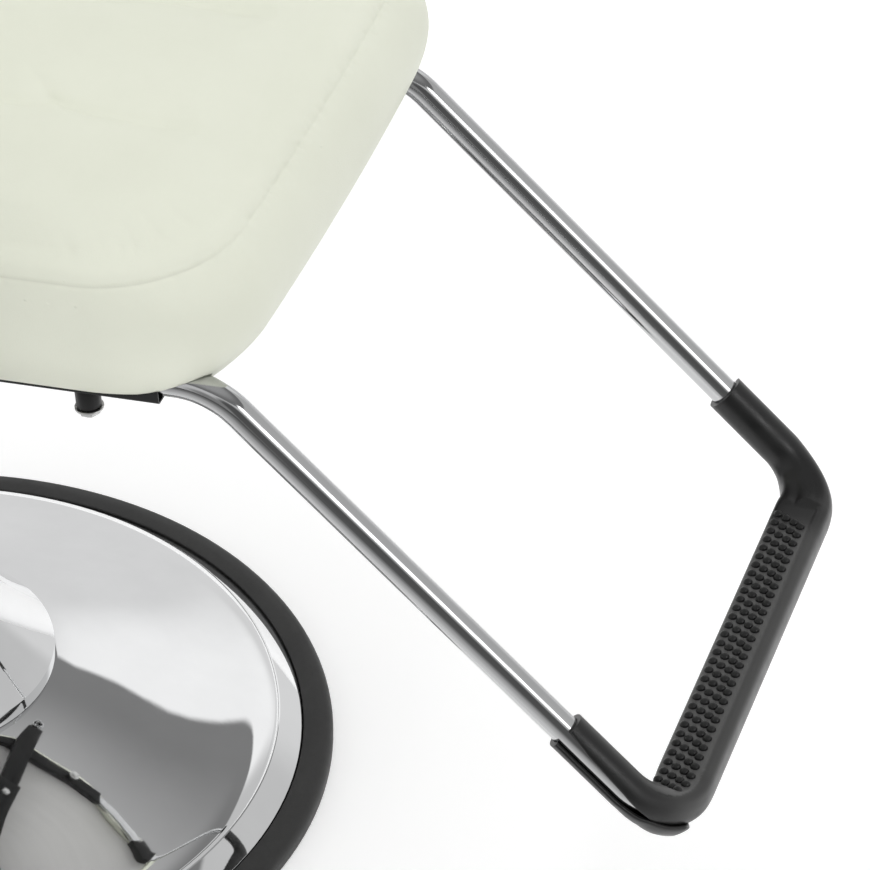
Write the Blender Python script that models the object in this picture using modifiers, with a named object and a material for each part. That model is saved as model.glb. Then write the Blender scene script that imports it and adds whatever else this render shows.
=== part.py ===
"""Hydraulic hairdressing chair: pump base, swivelling seat, back, arms and a footrest.

Metres, +Z up. The origin is on the floor at the base's axis, and the sitter faces -Y.
"""

import math

import bmesh
import bpy
from mathutils import Matrix, Vector

# Fits
REST_GAP = 0.0003  # between pieces that sit on or in each other
RUN_GAP = 0.0004  # round a piece that slides or turns
PLAY = 0.0005  # between the pedal's underside and the plunger

# Base
RIM_RADIUS = 0.3045
RIM_HEIGHT = 0.013
RIM_WIDTH = 0.0215  # of the rim that shows from above
RIM_EASE = 0.004  # of the rim's upper edges
RIM_FLANGE = 0.014  # how far the rim reaches in under the dome's lip
LIP_TUCK = 0.0035  # of the dome's lip held inside the rim
LIP_HEIGHT = 0.0065
SKIRT_WIDTH = 0.0185  # of the slope between the dome and the rim
SKIRT_GAP = 0.0015  # between the skirt's foot and the rim
DOME_RADIUS = RIM_RADIUS - RIM_WIDTH - SKIRT_WIDTH
DOME_WALL = 0.002
DOME_EDGE = 0.027  # height where the dome turns down into its skirt
DOME_HEIGHT = 0.078
DOME_FULLNESS = 1.2
DOME_STEPS = 7
PLATE_THICKNESS = 0.006

# Bell cover
BELL_RADIUS = 0.106
BELL_SEAT = 0.010  # width of the dome's top that carries the bell
BELL_SKIRT = 0.010  # height of the upright edge
BELL_TOP = 0.205
BELL_NECK = 0.0505
BELL_WALL = 0.002
BELL_EASE = 0.004
BELL_STEPS = 6
NOTCH_CLEARANCE = 0.002  # round the lever where it leaves the bell

# Column
CYLINDER_RADIUS = 0.042
CYLINDER_BORE = 0.0365
CYLINDER_TOP = 0.285
FLANGE_RADIUS = 0.064
FLANGE_THICKNESS = 0.010
FLANGE_BOLT_BITE = 0.0036  # of a flange bolt in the floor plate
GLAND_RADIUS = 0.046
GLAND_HEIGHT = 0.013
GLAND_SPIGOT = 0.017
GLAND_BORE = 0.0323
GLAND_LIP = 0.0025
GLAND_EASE = 0.002
SEAL_HEIGHT = 0.005
SEAL_LIP = 0.002
RAM_RADIUS = 0.0225
SPIGOT_RADIUS = 0.0175
SPIGOT_LENGTH = 0.028
SPIGOT_EASE = 0.002
PISTON_BOTTOM = 0.150
PISTON_HEIGHT = 0.022
SEAL_GROOVE = 0.004
WASHER_THICKNESS = 0.003
WASHER_RADIUS = 0.030
HUB_HEIGHT = 0.0323
HUB_RADIUS = 0.036
HUB_FLANGE_RADIUS = 0.055
HUB_FLANGE_DEPTH = 0.016
HUB_EASE = 0.007  # upright edge at the hub's foot

# Pump and pedal
PEDAL_AZIMUTH = math.radians(100)  # from straight ahead towards the sitter's right
PEDAL_SLOPE = math.radians(9)
PIVOT_RADIUS = 0.054  # from the column's axis
PIVOT_HEIGHT = 0.116
PIVOT_PIN_RADIUS = 0.004
LEVER_RADIUS = 0.010
LEVER_STRAIGHT = 0.250  # from the pivot to the bend
LEVER_END = 0.085  # level stretch that carries the pad
LEVER_BEND = 0.080
LEVER_HEEL = 0.0085  # behind the pivot
PAD_RADIUS = 0.016
PAD_LENGTH = 0.070
PAD_EASE = 0.003
PUMP_WIDTH = 0.034
PUMP_REACH = 0.0375  # of the block beyond the pivot
PUMP_SHELF = 0.060
EAR_REACH = 0.010  # round the pivot pin
EAR_EASE = 0.008
PLUNGER_ARM = 0.027  # from the pivot to the plunger
PLUNGER_RADIUS = 0.005
PLUNGER_BOTTOM = 0.034
PLUNGER_SUMP = 0.010  # free bore under the plunger
COLLAR_RADIUS = 0.0088
COLLAR_HEIGHT = 0.003
SPRING_RADIUS = 0.0069
SPRING_WIRE = 0.0009
SPRING_TURNS = 5
SPRING_FACETS = 10

# Seat frame, in the seat's own plane through the footrest's sockets
SEAT_HEIGHT = 0.504  # of that plane above the floor at the column's axis
SEAT_TILT = math.radians(4)
SOCKET_SIZE = 0.023
SOCKET_WALL = 0.0012
SOCKET_FRONT = -0.282
SOCKET_BACK = 0.110
RAIL_FRONT = -0.135
RAIL_BACK = 0.095
RAIL_WIDTH = 0.030
RAIL_HEIGHT = 0.020
RAIL_WALL = 0.003
MOUNT_WIDTH = 0.180
MOUNT_THICKNESS = 0.006
MOUNT_MARGIN = 0.020  # of the plate beyond the rails' centres
MOUNT_BOLT_SPACING = 0.130
BOARD_THICKNESS = 0.015
MOUNT_LOW = -SOCKET_SIZE / 2 - RAIL_HEIGHT - MOUNT_THICKNESS - 2 * REST_GAP  # the plate's underside
RAM_SHOULDER = SEAT_HEIGHT + MOUNT_LOW - HUB_HEIGHT - WASHER_THICKNESS - 2 * REST_GAP

# Footrest
TUBE_RADIUS = 0.010
TUBE_WALL = 0.0015
FOOTREST_SPACING = 0.378
FOOTREST_BEND_AT = -0.314
FOOTREST_BEND = 0.055
FOOTREST_BACK = 0.010
FOOTREST_DROP = math.radians(47.1)
FOOTREST_ARM = 0.413
FOOTREST_CORNER = 0.038
BORE_OVERRUN = 0.005  # of the cutters beyond a tube's ends
SLEEVE_WALL = 0.0035
SLEEVE_LENGTH = 0.093
SLEEVE_SLIT = 0.0105
SLIT_START = 0.004  # from the tube's centre line outwards
TREAD_LENGTH = 0.358
TREAD_CORNER = 0.036  # in plan, where the tread's front turns into the sleeve
TREAD_BACK = 0.0172
TREAD_FRONT = 0.0203
TREAD_HEIGHT = 0.0125
TREAD_ROLL = 0.0018  # how far the front roll stands above the tread
TREAD_ROLL_WIDTH = 0.008
TREAD_EASE = 0.012  # of the tread's lower edges
TREAD_DEPTH = 0.0138
FOOT_BOLT_AT = -0.229
SPACER_RADIUS = 0.0082
SPACER_HEIGHT = 0.0155
FOOT_WASHER_RADIUS = 0.0095
FOOT_WASHER_THICKNESS = 0.0018

# Bolts
BOLT_RADIUS = 0.004
BOLT_HEAD_RADIUS = 0.0072
BOLT_HEAD_HEIGHT = 0.006
BOLT_HEAD_EDGE = 0.0027  # straight side of a head
BOLT_HEAD_CROWN = 0.0054  # radius and height where a head's crown flattens

# Seat cushion
SEAT_HALF_WIDTH = 0.2345
SEAT_FRONT = -0.349
SEAT_REAR = 0.130
SEAT_CORNER = 0.110  # of the seam
SEAT_CORNER_LOW = 0.075  # of the bottom edge
SEAT_BOTTOM = -0.0015
SEAT_BOXING = 0.0915
SEAT_CROWN = 0.022
SEAT_TUCK = 0.027  # how far the bottom edge draws in from the bulge
SEAT_SEAM_INSET = 0.016
SEAT_CHANNEL = 0.004  # depth of the two sewn channels that run back from the front seam
CHANNEL_AT = 0.4  # share of the half width
SKIRT_SIDE = 0.0055
SKIRT_FRONT = 0.021
BOARD_CORNER = 0.060
TUBE_CLEARANCE = 0.001  # of the cushion round the footrest tube
CUSHION_CUTS = 9
CROWN_FULLNESS = 2.5
EDGE = 0.001

# Back
BACK_RECLINE = math.radians(12)
BACK_AT = 0.190  # where the brackets turn up
BRACKET_WIDTH = 0.040
BRACKET_THICKNESS = 0.006
BRACKET_SPACING = 0.260
BRACKET_START = 0.010
BRACKET_BEND = 0.035
BRACKET_TOP = 0.360
BACK_BOTTOM = 0.140
BACK_HEIGHT = 0.420
BACK_HALF_WIDTH = 0.230
BACK_THICKNESS = 0.075
BACK_CROWN = 0.020
BACK_CORNER = 0.090
BACK_TUCK = 0.014
BACK_SEAM_INSET = 0.014
BACK_SKIRT = 0.020
BACK_BOARD_THICKNESS = 0.012
BACK_BOLT_BITE = 0.0096  # of a back bolt in the board
BACK_BOLT_HEIGHTS = (0.215, 0.325)

# Arms
ARM_RADIUS = 0.011
ARM_WALL = 0.0015
ARM_OUT = 0.259  # from the middle of the seat
ARM_HEIGHT = 0.315
ARM_FRONT_LEAN = 0.018
ARM_BACK_LEAN = 0.020
ARM_BEND = 0.055
ARM_FOOT = 0.014  # of the leg below its bolt
ARM_PAD_LENGTH = 0.270
ARM_PAD_WIDTH = 0.052
ARM_PAD_HEIGHT = 0.032
ARM_PAD_WRAP = 0.008  # how far the pad reaches down the tube
ARM_PAD_EASE = 0.009
ARM_BOLT_GRIP = 0.020  # of an arm bolt in the rail's end

# Facets
FINE = 40
MEDIUM = 24
COARSE = 12

SIDEWAYS = (math.pi / 2, 0, -math.pi / 2)  # turns a flat (forward, up) outline to stand along X
FORWARD = (math.pi / 2, 0, 0)  # turns +Z to point straight ahead
UPSIDE_DOWN = (math.pi, 0, 0)
ALONG_X = (0, math.pi / 2, 0)
PARTS = "hairdressing_chair"
CUTTERS = "cutters"


def clear_scene():
    """Empties the scene and adds the two collections."""
    for item in list(bpy.data.objects):
        bpy.data.objects.remove(item, do_unlink=True)
    for name in (PARTS, CUTTERS):
        bpy.context.scene.collection.children.link(bpy.data.collections.new(name))


def finish(name, colour, metallic, roughness):
    """A Principled material."""
    material = bpy.data.materials.new(name)
    material.use_nodes = True
    shader = material.node_tree.nodes["Principled BSDF"]
    shader.inputs["Base Color"].default_value = (*colour, 1.0)
    shader.inputs["Metallic"].default_value = metallic
    shader.inputs["Roughness"].default_value = roughness
    return material


def empty(name, location=(0, 0, 0), rotation=(0, 0, 0), parent=None):
    """A frame that pieces are placed in."""
    frame = bpy.data.objects.new(name, None)
    bpy.data.collections[PARTS].objects.link(frame)
    frame.location = location
    frame.rotation_euler = rotation
    frame.parent = parent
    return frame


def place(name, data, material, parent=None, location=(0, 0, 0), rotation=(0, 0, 0)):
    """An object of its own for a mesh or a curve."""
    piece = bpy.data.objects.new(name, data)
    bpy.data.collections[PARTS].objects.link(piece)
    data.materials.append(material)
    piece.parent = parent
    piece.location = location
    piece.rotation_euler = rotation
    return piece


def as_cutter(piece):
    """Turns a piece into a helper that isn't part of the chair."""
    if piece.name in bpy.data.collections[PARTS].objects:
        bpy.data.collections[PARTS].objects.unlink(piece)
        bpy.data.collections[CUTTERS].objects.link(piece)
    piece.hide_render = True
    piece.display_type = 'WIRE'
    return piece


def cut(piece, cutter, operation='DIFFERENCE'):
    """Takes the cutter's space out of a piece."""
    modifier = piece.modifiers.new("cut", 'BOOLEAN')
    modifier.operation = operation
    modifier.object = as_cutter(cutter)


def fuse(piece, other):
    """Makes another shape part of a piece."""
    cut(piece, other, 'UNION')


def turned(name, profile, material, parent=None, location=(0, 0, 0), rotation=(0, 0, 0),
           steps=MEDIUM, ring=False):
    """A shape turned about its own Z axis from (radius, height) points that run down its outside."""
    mesh = bpy.data.meshes.new(name)
    edges = [(i, i + 1) for i in range(len(profile) - 1)]
    if ring:
        edges.append((len(profile) - 1, 0))
    mesh.from_pydata([(radius, 0, height) for radius, height in profile], edges, [])
    piece = place(name, mesh, material, parent, location, rotation)
    screw = piece.modifiers.new("turn", 'SCREW')
    screw.axis = 'Z'
    screw.steps = steps
    screw.render_steps = steps
    screw.use_merge_vertices = True
    screw.merge_threshold = 0.00002
    return piece


def rod(name, radius, low, high, material, parent=None, location=(0, 0, 0), rotation=(0, 0, 0),
        steps=COARSE):
    """A round bar along Z."""
    profile = [(0, high), (radius, high), (radius, low), (0, low)]
    return turned(name, profile, material, parent, location, rotation, steps)


def washer(name, inner, outer, low, high, material, parent=None, location=(0, 0, 0),
           steps=MEDIUM):
    """A flat ring about Z."""
    profile = [(inner, high), (outer, high), (outer, low), (inner, low)]
    return turned(name, profile, material, parent, location, steps=steps, ring=True)


def box(name, low, high, material, parent=None, bevel=0.0):
    """A block between two corners, with its edges eased."""
    shape = bmesh.new()
    bmesh.ops.create_cube(shape, size=1)
    size = [b - a for a, b in zip(low, high)]
    middle = [(a + b) / 2 for a, b in zip(low, high)]
    bmesh.ops.transform(shape, matrix=Matrix.Translation(middle) @ Matrix.Diagonal((*size, 1)),
                        verts=shape.verts)
    mesh = bpy.data.meshes.new(name)
    shape.to_mesh(mesh)
    shape.free()
    piece = place(name, mesh, material, parent)
    if bevel:
        ease = piece.modifiers.new("ease", 'BEVEL')
        ease.width = bevel
        ease.segments = 2
    return piece


def rounded(corners, closed=False, steps=5):
    """The points of a path through (point, radius) corners, each turned on an arc."""
    points = []
    count = len(corners)
    for i, (corner, radius) in enumerate(corners):
        corner = Vector(corner)
        if not radius or (not closed and i in (0, count - 1)):
            points.append(corner)
            continue
        before = (Vector(corners[i - 1][0]) - corner).normalized()
        after = (Vector(corners[(i + 1) % count][0]) - corner).normalized()
        half = before.angle(after) / 2
        centre = corner + (before + after).normalized() * (radius / math.sin(half))
        start = corner + before * (radius / math.tan(half)) - centre
        end = corner + after * (radius / math.tan(half)) - centre
        sweep = start.angle(end)
        for k in range(steps + 1):
            t = k / steps
            along = (math.sin((1 - t) * sweep) * start + math.sin(t * sweep) * end) / math.sin(sweep)
            points.append(centre + along)
    return points


def tube(name, points, radius, material, parent=None, resolution=2):
    """A round bar along a path."""
    curve = bpy.data.curves.new(name, 'CURVE')
    curve.dimensions = '3D'
    spline = curve.splines.new('POLY')
    spline.points.add(len(points) - 1)
    for target, point in zip(spline.points, points):
        target.co = (*point, 1)
    curve.bevel_depth = radius
    curve.bevel_resolution = resolution
    curve.use_fill_caps = True
    return place(name, curve, material, parent)


def sheet(name, outline, low, high, material, parent=None, location=(0, 0, 0), rotation=(0, 0, 0)):
    """A flat outline in XY, given its thickness along Z."""
    curve = bpy.data.curves.new(name, 'CURVE')
    curve.dimensions = '2D'
    curve.fill_mode = 'BOTH'
    curve.extrude = (high - low) / 2
    spline = curve.splines.new('POLY')
    spline.points.add(len(outline) - 1)
    for target, point in zip(spline.points, outline):
        target.co = (point[0], point[1], 0, 1)
    spline.use_cyclic_u = True
    piece = place(name, curve, material, parent, location, rotation)
    piece.location += piece.rotation_euler.to_matrix() @ Vector((0, 0, (low + high) / 2))
    return piece


def meshed(curve_piece):
    """The same piece as a closed mesh, so that it can be cut."""
    bpy.context.view_layer.update()
    graph = bpy.context.evaluated_depsgraph_get()
    mesh = bpy.data.meshes.new_from_object(curve_piece.evaluated_get(graph))
    shape = bmesh.new()
    shape.from_mesh(mesh)
    bmesh.ops.remove_doubles(shape, verts=shape.verts, dist=0.00002)
    bmesh.ops.recalc_face_normals(shape, faces=shape.faces)
    shape.to_mesh(mesh)
    shape.free()
    name = curve_piece.name
    piece = bpy.data.objects.new(name, mesh)
    bpy.data.collections[PARTS].objects.link(piece)
    piece.parent = curve_piece.parent
    piece.matrix_world = curve_piece.matrix_world
    bpy.data.objects.remove(curve_piece, do_unlink=True)
    piece.name = name
    return piece


def strip(points, thickness):
    """The outline of a flat bar bent along (x, y) points."""
    left, right = [], []
    for i, point in enumerate(points):
        along = points[min(i + 1, len(points) - 1)] - points[max(i - 1, 0)]
        across = Vector((-along.y, along.x)).normalized() * thickness / 2
        left.append(point + across)
        right.append(point - across)
    return left + right[::-1]


def wall_inside(profile, wall):
    """The inner side of a turned wall, from the bottom of its outer side back to the top."""
    inner = []
    for i, point in enumerate(profile):
        along = Vector(profile[min(i + 1, len(profile) - 1)]) - Vector(profile[max(i - 1, 0)])
        along.normalize()
        inner.append((point[0] + wall * along.y, point[1] - wall * along.x))
    return inner[::-1]


def bolt(name, shank, material, parent, location, rotation=(0, 0, 0)):
    """A round-headed bolt, with the underside of its head at its origin and its shank along +Z."""
    head = BOLT_HEAD_RADIUS
    profile = [(0, shank), (BOLT_RADIUS, shank), (BOLT_RADIUS, 0), (head, 0),
               (head, -BOLT_HEAD_EDGE), (BOLT_HEAD_CROWN, -BOLT_HEAD_CROWN), (0, -BOLT_HEAD_HEIGHT)]
    return turned(name, profile, material, parent, location, rotation, COARSE)


def bolt_hole(length, material, parent, location, rotation=(0, 0, 0)):
    """A cutter for a bolt's hole, from below its head to a depth."""
    return rod("bolt_hole", BOLT_RADIUS + REST_GAP, -BOLT_HEAD_HEIGHT, length, material, parent,
               location, rotation)


def plan_point(a, b, half_width, half_length, corner):
    """Where a point of the square from -1 to 1 falls on a rounded rectangle."""
    reach = max(abs(a), abs(b))
    if reach == 0:
        return 0.0, 0.0
    x, y = abs(a) / reach * half_width, abs(b) / reach * half_length
    over = Vector((x - (half_width - corner), y - (half_length - corner)))
    if min(over) > 0:
        over = over.normalized() * corner
        x, y = half_width - corner + over.x, half_length - corner + over.y
    return math.copysign(x * reach, a), math.copysign(y * reach, b)


def cushion(name, half_width, front, rear, corners, bottom, boxing, crown, insets, material, parent,
            channel=0.0):
    """A boxed cushion: a drawn-in bottom edge, bulging sides, and a crowned top within its seam.

    corners and insets hold a value for the bottom edge and one for the seam.
    """
    shape = bmesh.new()
    bmesh.ops.create_cube(shape, size=2)
    bmesh.ops.subdivide_edges(shape, edges=shape.edges, cuts=CUSHION_CUTS, use_grid_fill=True)
    for vertex in shape.verts:
        a, b, c = vertex.co
        up = (c + 1) / 2
        inset = (insets[0] * (1 - up) + insets[1] * up) * (1 - math.sin(math.pi * up))
        corner = corners[0] * (1 - up) + corners[1] * up
        x, y = plan_point(a, b, half_width - inset, (rear - front) / 2 - inset, corner)
        z = bottom + boxing * up
        if c > 1 - EDGE:
            z += crown * (1 - max(abs(a), abs(b)) ** CROWN_FULLNESS)
            if abs(abs(a) - CHANNEL_AT) < EDGE:
                z -= channel * (1 - b ** 4)
        vertex.co = (x, y + (front + rear) / 2, z)
    mesh = bpy.data.meshes.new(name)
    shape.to_mesh(mesh)
    shape.free()
    mesh.shade_smooth()
    return place(name, mesh, material, parent)


def dome_height(radius):
    """Height of the dome's outside at a distance from the axis."""
    share = max(radius - BELL_RADIUS, 0) / (DOME_RADIUS - BELL_RADIUS)
    return DOME_EDGE + (DOME_HEIGHT - DOME_EDGE) * (1 - share ** DOME_FULLNESS)


def build_base(looks):
    """The floor plate, the chromed dome, its rubber rim and the bell over the pump."""
    rim_inner = RIM_RADIUS - RIM_WIDTH
    flange_inner = rim_inner - RIM_FLANGE
    flange_top = LIP_HEIGHT - DOME_WALL - REST_GAP
    groove = rim_inner + LIP_TUCK + REST_GAP
    plate = rod("base_plate", flange_inner - REST_GAP, 0, PLATE_THICKNESS, looks["steel"], steps=FINE)
    turned("base_rim_ring", [
        (rim_inner, LIP_HEIGHT + RIM_EASE), (rim_inner + RIM_EASE, RIM_HEIGHT),
        (RIM_RADIUS - RIM_EASE, RIM_HEIGHT), (RIM_RADIUS, RIM_HEIGHT - RIM_EASE), (RIM_RADIUS, 0),
        (flange_inner, 0), (flange_inner, flange_top), (groove, flange_top),
        (groove, LIP_HEIGHT + REST_GAP), (rim_inner, LIP_HEIGHT + REST_GAP),
    ], looks["rubber"], steps=FINE, ring=True)

    dome = [(BELL_RADIUS - BELL_SEAT, DOME_HEIGHT)]
    for i in range(DOME_STEPS + 1):
        radius = BELL_RADIUS + (DOME_RADIUS - BELL_RADIUS) * i / DOME_STEPS
        dome.append((radius, dome_height(radius)))
    dome.append((rim_inner - SKIRT_GAP, LIP_HEIGHT))
    dome.append((rim_inner + LIP_TUCK, LIP_HEIGHT))
    turned("base_dome", dome + wall_inside(dome, DOME_WALL), looks["chrome"], steps=FINE, ring=True)

    low = DOME_HEIGHT + REST_GAP
    shoulder = BELL_TOP - BELL_EASE
    bell = [(CYLINDER_RADIUS + RUN_GAP, BELL_TOP), (BELL_NECK - BELL_EASE, BELL_TOP)]
    for i in range(BELL_STEPS + 1):
        share = i / BELL_STEPS
        bell.append((BELL_NECK + (BELL_RADIUS - BELL_NECK) * share ** 2,
                     shoulder + (low + BELL_SKIRT - shoulder) * share))
    bell.append((BELL_RADIUS, low))
    return plate, turned("bell_cover", bell + wall_inside(bell, BELL_WALL), looks["chrome"],
                         steps=FINE, ring=True)


def build_column(looks, lift):
    """The pump's cylinder with its gland, and the ram that slides in it."""
    floor = PLATE_THICKNESS + REST_GAP
    cylinder = turned("pump_cylinder", [
        (CYLINDER_RADIUS, CYLINDER_TOP), (CYLINDER_RADIUS, floor + FLANGE_THICKNESS),
        (FLANGE_RADIUS, floor + FLANGE_THICKNESS), (FLANGE_RADIUS, floor),
        (CYLINDER_BORE, floor), (CYLINDER_BORE, CYLINDER_TOP),
    ], looks["chrome"], ring=True)
    seat = CYLINDER_TOP + REST_GAP
    top = seat + GLAND_HEIGHT
    spigot = CYLINDER_BORE - REST_GAP
    low = CYLINDER_TOP - GLAND_SPIGOT
    lip = RAM_RADIUS + GLAND_BORE
    turned("cylinder_gland", [
        (GLAND_BORE, top), (GLAND_RADIUS - GLAND_EASE, top), (GLAND_RADIUS, top - GLAND_EASE),
        (GLAND_RADIUS, seat), (spigot, seat), (spigot, low), (lip / 2, low),
        (lip / 2, low + GLAND_LIP), (GLAND_BORE, low + GLAND_LIP),
    ], looks["chrome"], ring=True)
    bush = low + GLAND_LIP + REST_GAP
    seal = top - SEAL_HEIGHT
    outer = GLAND_BORE - REST_GAP
    washer("guide_bush", RAM_RADIUS + RUN_GAP, outer, bush, seal - REST_GAP, looks["bronze"])
    turned("wiper_seal", [
        (RAM_RADIUS + RUN_GAP, top + SEAL_LIP), (RAM_RADIUS + SEAL_LIP, top + SEAL_LIP),
        (outer, top), (outer, seal), (RAM_RADIUS + RUN_GAP, seal),
    ], looks["rubber"], ring=True)

    head_top = PISTON_BOTTOM + PISTON_HEIGHT
    middle = (PISTON_BOTTOM + head_top) / 2
    head = CYLINDER_BORE - RUN_GAP
    root = head - SEAL_GROOVE
    spigot_top = RAM_SHOULDER + SPIGOT_LENGTH
    turned("lift_ram", [
        (0, spigot_top), (SPIGOT_RADIUS - SPIGOT_EASE, spigot_top),
        (SPIGOT_RADIUS, spigot_top - SPIGOT_EASE), (SPIGOT_RADIUS, RAM_SHOULDER),
        (RAM_RADIUS, RAM_SHOULDER), (RAM_RADIUS, head_top + REST_GAP), (0, head_top + REST_GAP),
    ], looks["chrome"], lift)
    turned("piston_head", [
        (0, head_top), (head, head_top), (head, middle + SEAL_GROOVE / 2),
        (root, middle + SEAL_GROOVE / 2), (root, middle - SEAL_GROOVE / 2),
        (head, middle - SEAL_GROOVE / 2), (head, PISTON_BOTTOM), (0, PISTON_BOTTOM),
    ], looks["steel"], lift)
    half = SEAL_GROOVE / 2 - REST_GAP
    washer("piston_seal", root + REST_GAP, head, middle - half, middle + half, looks["rubber"], lift)
    washer("thrust_washer", SPIGOT_RADIUS + RUN_GAP, WASHER_RADIUS, RAM_SHOULDER + REST_GAP,
           RAM_SHOULDER + REST_GAP + WASHER_THICKNESS, looks["bronze"], lift)
    return cylinder


def build_flange_bolts(looks, pedal_frame, plate, cylinder):
    """Four bolts that hold the cylinder's flange down on the floor plate."""
    circle = (CYLINDER_RADIUS + FLANGE_RADIUS) / 2
    top = PLATE_THICKNESS + FLANGE_THICKNESS + 2 * REST_GAP
    shank = FLANGE_THICKNESS + FLANGE_BOLT_BITE
    for i in range(4):
        angle = math.pi * (0.25 + 0.5 * i)
        spot = (circle * math.cos(angle), circle * math.sin(angle), top)
        bolt(f"flange_bolt_{i + 1}", shank, looks["bolt"], pedal_frame, spot, UPSIDE_DOWN)
        hole = bolt_hole(shank + REST_GAP, looks["bolt"], pedal_frame, spot, UPSIDE_DOWN)
        cut(plate, hole)
        cut(cylinder, hole)


def build_pump(looks, pedal_frame, bell):
    """The pump block, its plunger and spring, and the foot lever that presses the plunger."""
    floor = PLATE_THICKNESS + REST_GAP
    flange_top = floor + FLANGE_THICKNESS + REST_GAP
    ear_in, ear_out = PIVOT_RADIUS - EAR_REACH, PIVOT_RADIUS + EAR_REACH
    ear_top = PIVOT_HEIGHT + EAR_REACH
    out = PIVOT_RADIUS + PUMP_REACH
    step = FLANGE_RADIUS + REST_GAP
    outline = rounded([
        ((step, floor), 0), ((out, floor), 0), ((out, PUMP_SHELF), 0), ((ear_out, PUMP_SHELF), 0),
        ((ear_out, ear_top), EAR_EASE), ((ear_in, ear_top), EAR_EASE),
        ((ear_in, flange_top), 0), ((step, flange_top), 0),
    ], closed=True, steps=3)
    block = meshed(sheet("pump_block", outline, -PUMP_WIDTH / 2, PUMP_WIDTH / 2, looks["iron"],
                         pedal_frame, rotation=SIDEWAYS))
    slot = LEVER_RADIUS + RUN_GAP
    cut(block, box("ear_slot", (-slot, -ear_out - EAR_REACH, PIVOT_HEIGHT - 2 * LEVER_RADIUS),
                   (slot, -ear_in + EAR_REACH, ear_top + EAR_REACH), looks["iron"], pedal_frame))
    pivot = empty("pedal_pivot", (0, -PIVOT_RADIUS, PIVOT_HEIGHT), parent=pedal_frame)
    half = PUMP_WIDTH / 2
    rod("pedal_pivot_pin", PIVOT_PIN_RADIUS, -half, half, looks["bolt"], pivot, rotation=ALONG_X)
    cut(block, rod("pin_hole", PIVOT_PIN_RADIUS + REST_GAP, -PUMP_WIDTH, PUMP_WIDTH, looks["iron"],
                   pivot, rotation=ALONG_X))

    bore_at = (0, -PIVOT_RADIUS - PLUNGER_ARM, 0)
    plunger_frame = empty("plunger_axis", bore_at, parent=pedal_frame)
    cut(block, rod("plunger_bore", PLUNGER_RADIUS + RUN_GAP, PLUNGER_BOTTOM - PLUNGER_SUMP,
                   PUMP_SHELF + PLUNGER_SUMP, looks["iron"], plunger_frame))
    reach = PLUNGER_ARM * math.sin(PEDAL_SLOPE) + LEVER_RADIUS + PLUNGER_RADIUS + PLAY
    tip = PIVOT_HEIGHT - reach / math.cos(PEDAL_SLOPE)
    collar = tip - COLLAR_HEIGHT / 2
    profile = [(PLUNGER_RADIUS * math.sin(t), tip + PLUNGER_RADIUS * math.cos(t))
               for t in (math.pi / 8 * k for k in range(5))]
    profile += [(PLUNGER_RADIUS, collar), (COLLAR_RADIUS, collar),
                (COLLAR_RADIUS, collar - COLLAR_HEIGHT), (PLUNGER_RADIUS, collar - COLLAR_HEIGHT),
                (PLUNGER_RADIUS, PLUNGER_BOTTOM), (0, PLUNGER_BOTTOM)]
    turned("pump_plunger", profile, looks["steel"], plunger_frame, steps=COARSE)
    low = PUMP_SHELF + REST_GAP + SPRING_WIRE
    high = collar - COLLAR_HEIGHT - REST_GAP - SPRING_WIRE
    count = SPRING_TURNS * SPRING_FACETS
    coil = []
    for i in range(count + 1):
        angle = 2 * math.pi * i / SPRING_FACETS
        coil.append((SPRING_RADIUS * math.cos(angle), SPRING_RADIUS * math.sin(angle),
                     low + (high - low) * i / count))
    tube("plunger_spring", coil, SPRING_WIRE, looks["steel"], plunger_frame, resolution=1)

    run = Vector((0, -math.cos(PEDAL_SLOPE), -math.sin(PEDAL_SLOPE)))
    bend = run * LEVER_STRAIGHT
    end = bend + Vector((0, -LEVER_END, 0))
    path = rounded([(-run * LEVER_HEEL, 0), (bend, LEVER_BEND), (end, 0)], steps=3)
    lever = meshed(tube("pedal_lever", path, LEVER_RADIUS, looks["chrome"], pivot, resolution=4))
    cut(lever, rod("lever_eye", PIVOT_PIN_RADIUS + RUN_GAP, -PUMP_WIDTH, PUMP_WIDTH, looks["iron"],
                   pivot, rotation=ALONG_X))
    bore = LEVER_RADIUS + REST_GAP
    cap = PAD_RADIUS - LEVER_RADIUS
    turned("pedal_pad", [
        (0, cap), (PAD_RADIUS - PAD_EASE, cap), (PAD_RADIUS, cap - PAD_EASE),
        (PAD_RADIUS, PAD_EASE - PAD_LENGTH), (PAD_RADIUS - PAD_EASE, -PAD_LENGTH),
        (bore, -PAD_LENGTH), (bore, REST_GAP), (0, REST_GAP),
    ], looks["rubber"], pivot, end, FORWARD)
    notch = LEVER_RADIUS + NOTCH_CLEARANCE
    cut(bell, box("lever_notch", (-notch, -BELL_RADIUS - notch, DOME_HEIGHT - notch),
                  (notch, -PIVOT_RADIUS, PIVOT_HEIGHT + LEVER_RADIUS + NOTCH_CLEARANCE),
                  looks["chrome"], pedal_frame, NOTCH_CLEARANCE))


def board_outline(grow):
    """The seat board's plan, let out by a clearance."""
    half = SEAT_HALF_WIDTH - SEAT_TUCK - SKIRT_SIDE + grow
    front = SEAT_FRONT + SEAT_TUCK + SKIRT_FRONT - grow
    rear = SEAT_REAR - SEAT_TUCK - SKIRT_SIDE + grow
    radius = BOARD_CORNER + grow
    return rounded([((-half, front), radius), ((half, front), radius), ((half, rear), radius),
                    ((-half, rear), radius)], closed=True, steps=4)


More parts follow.
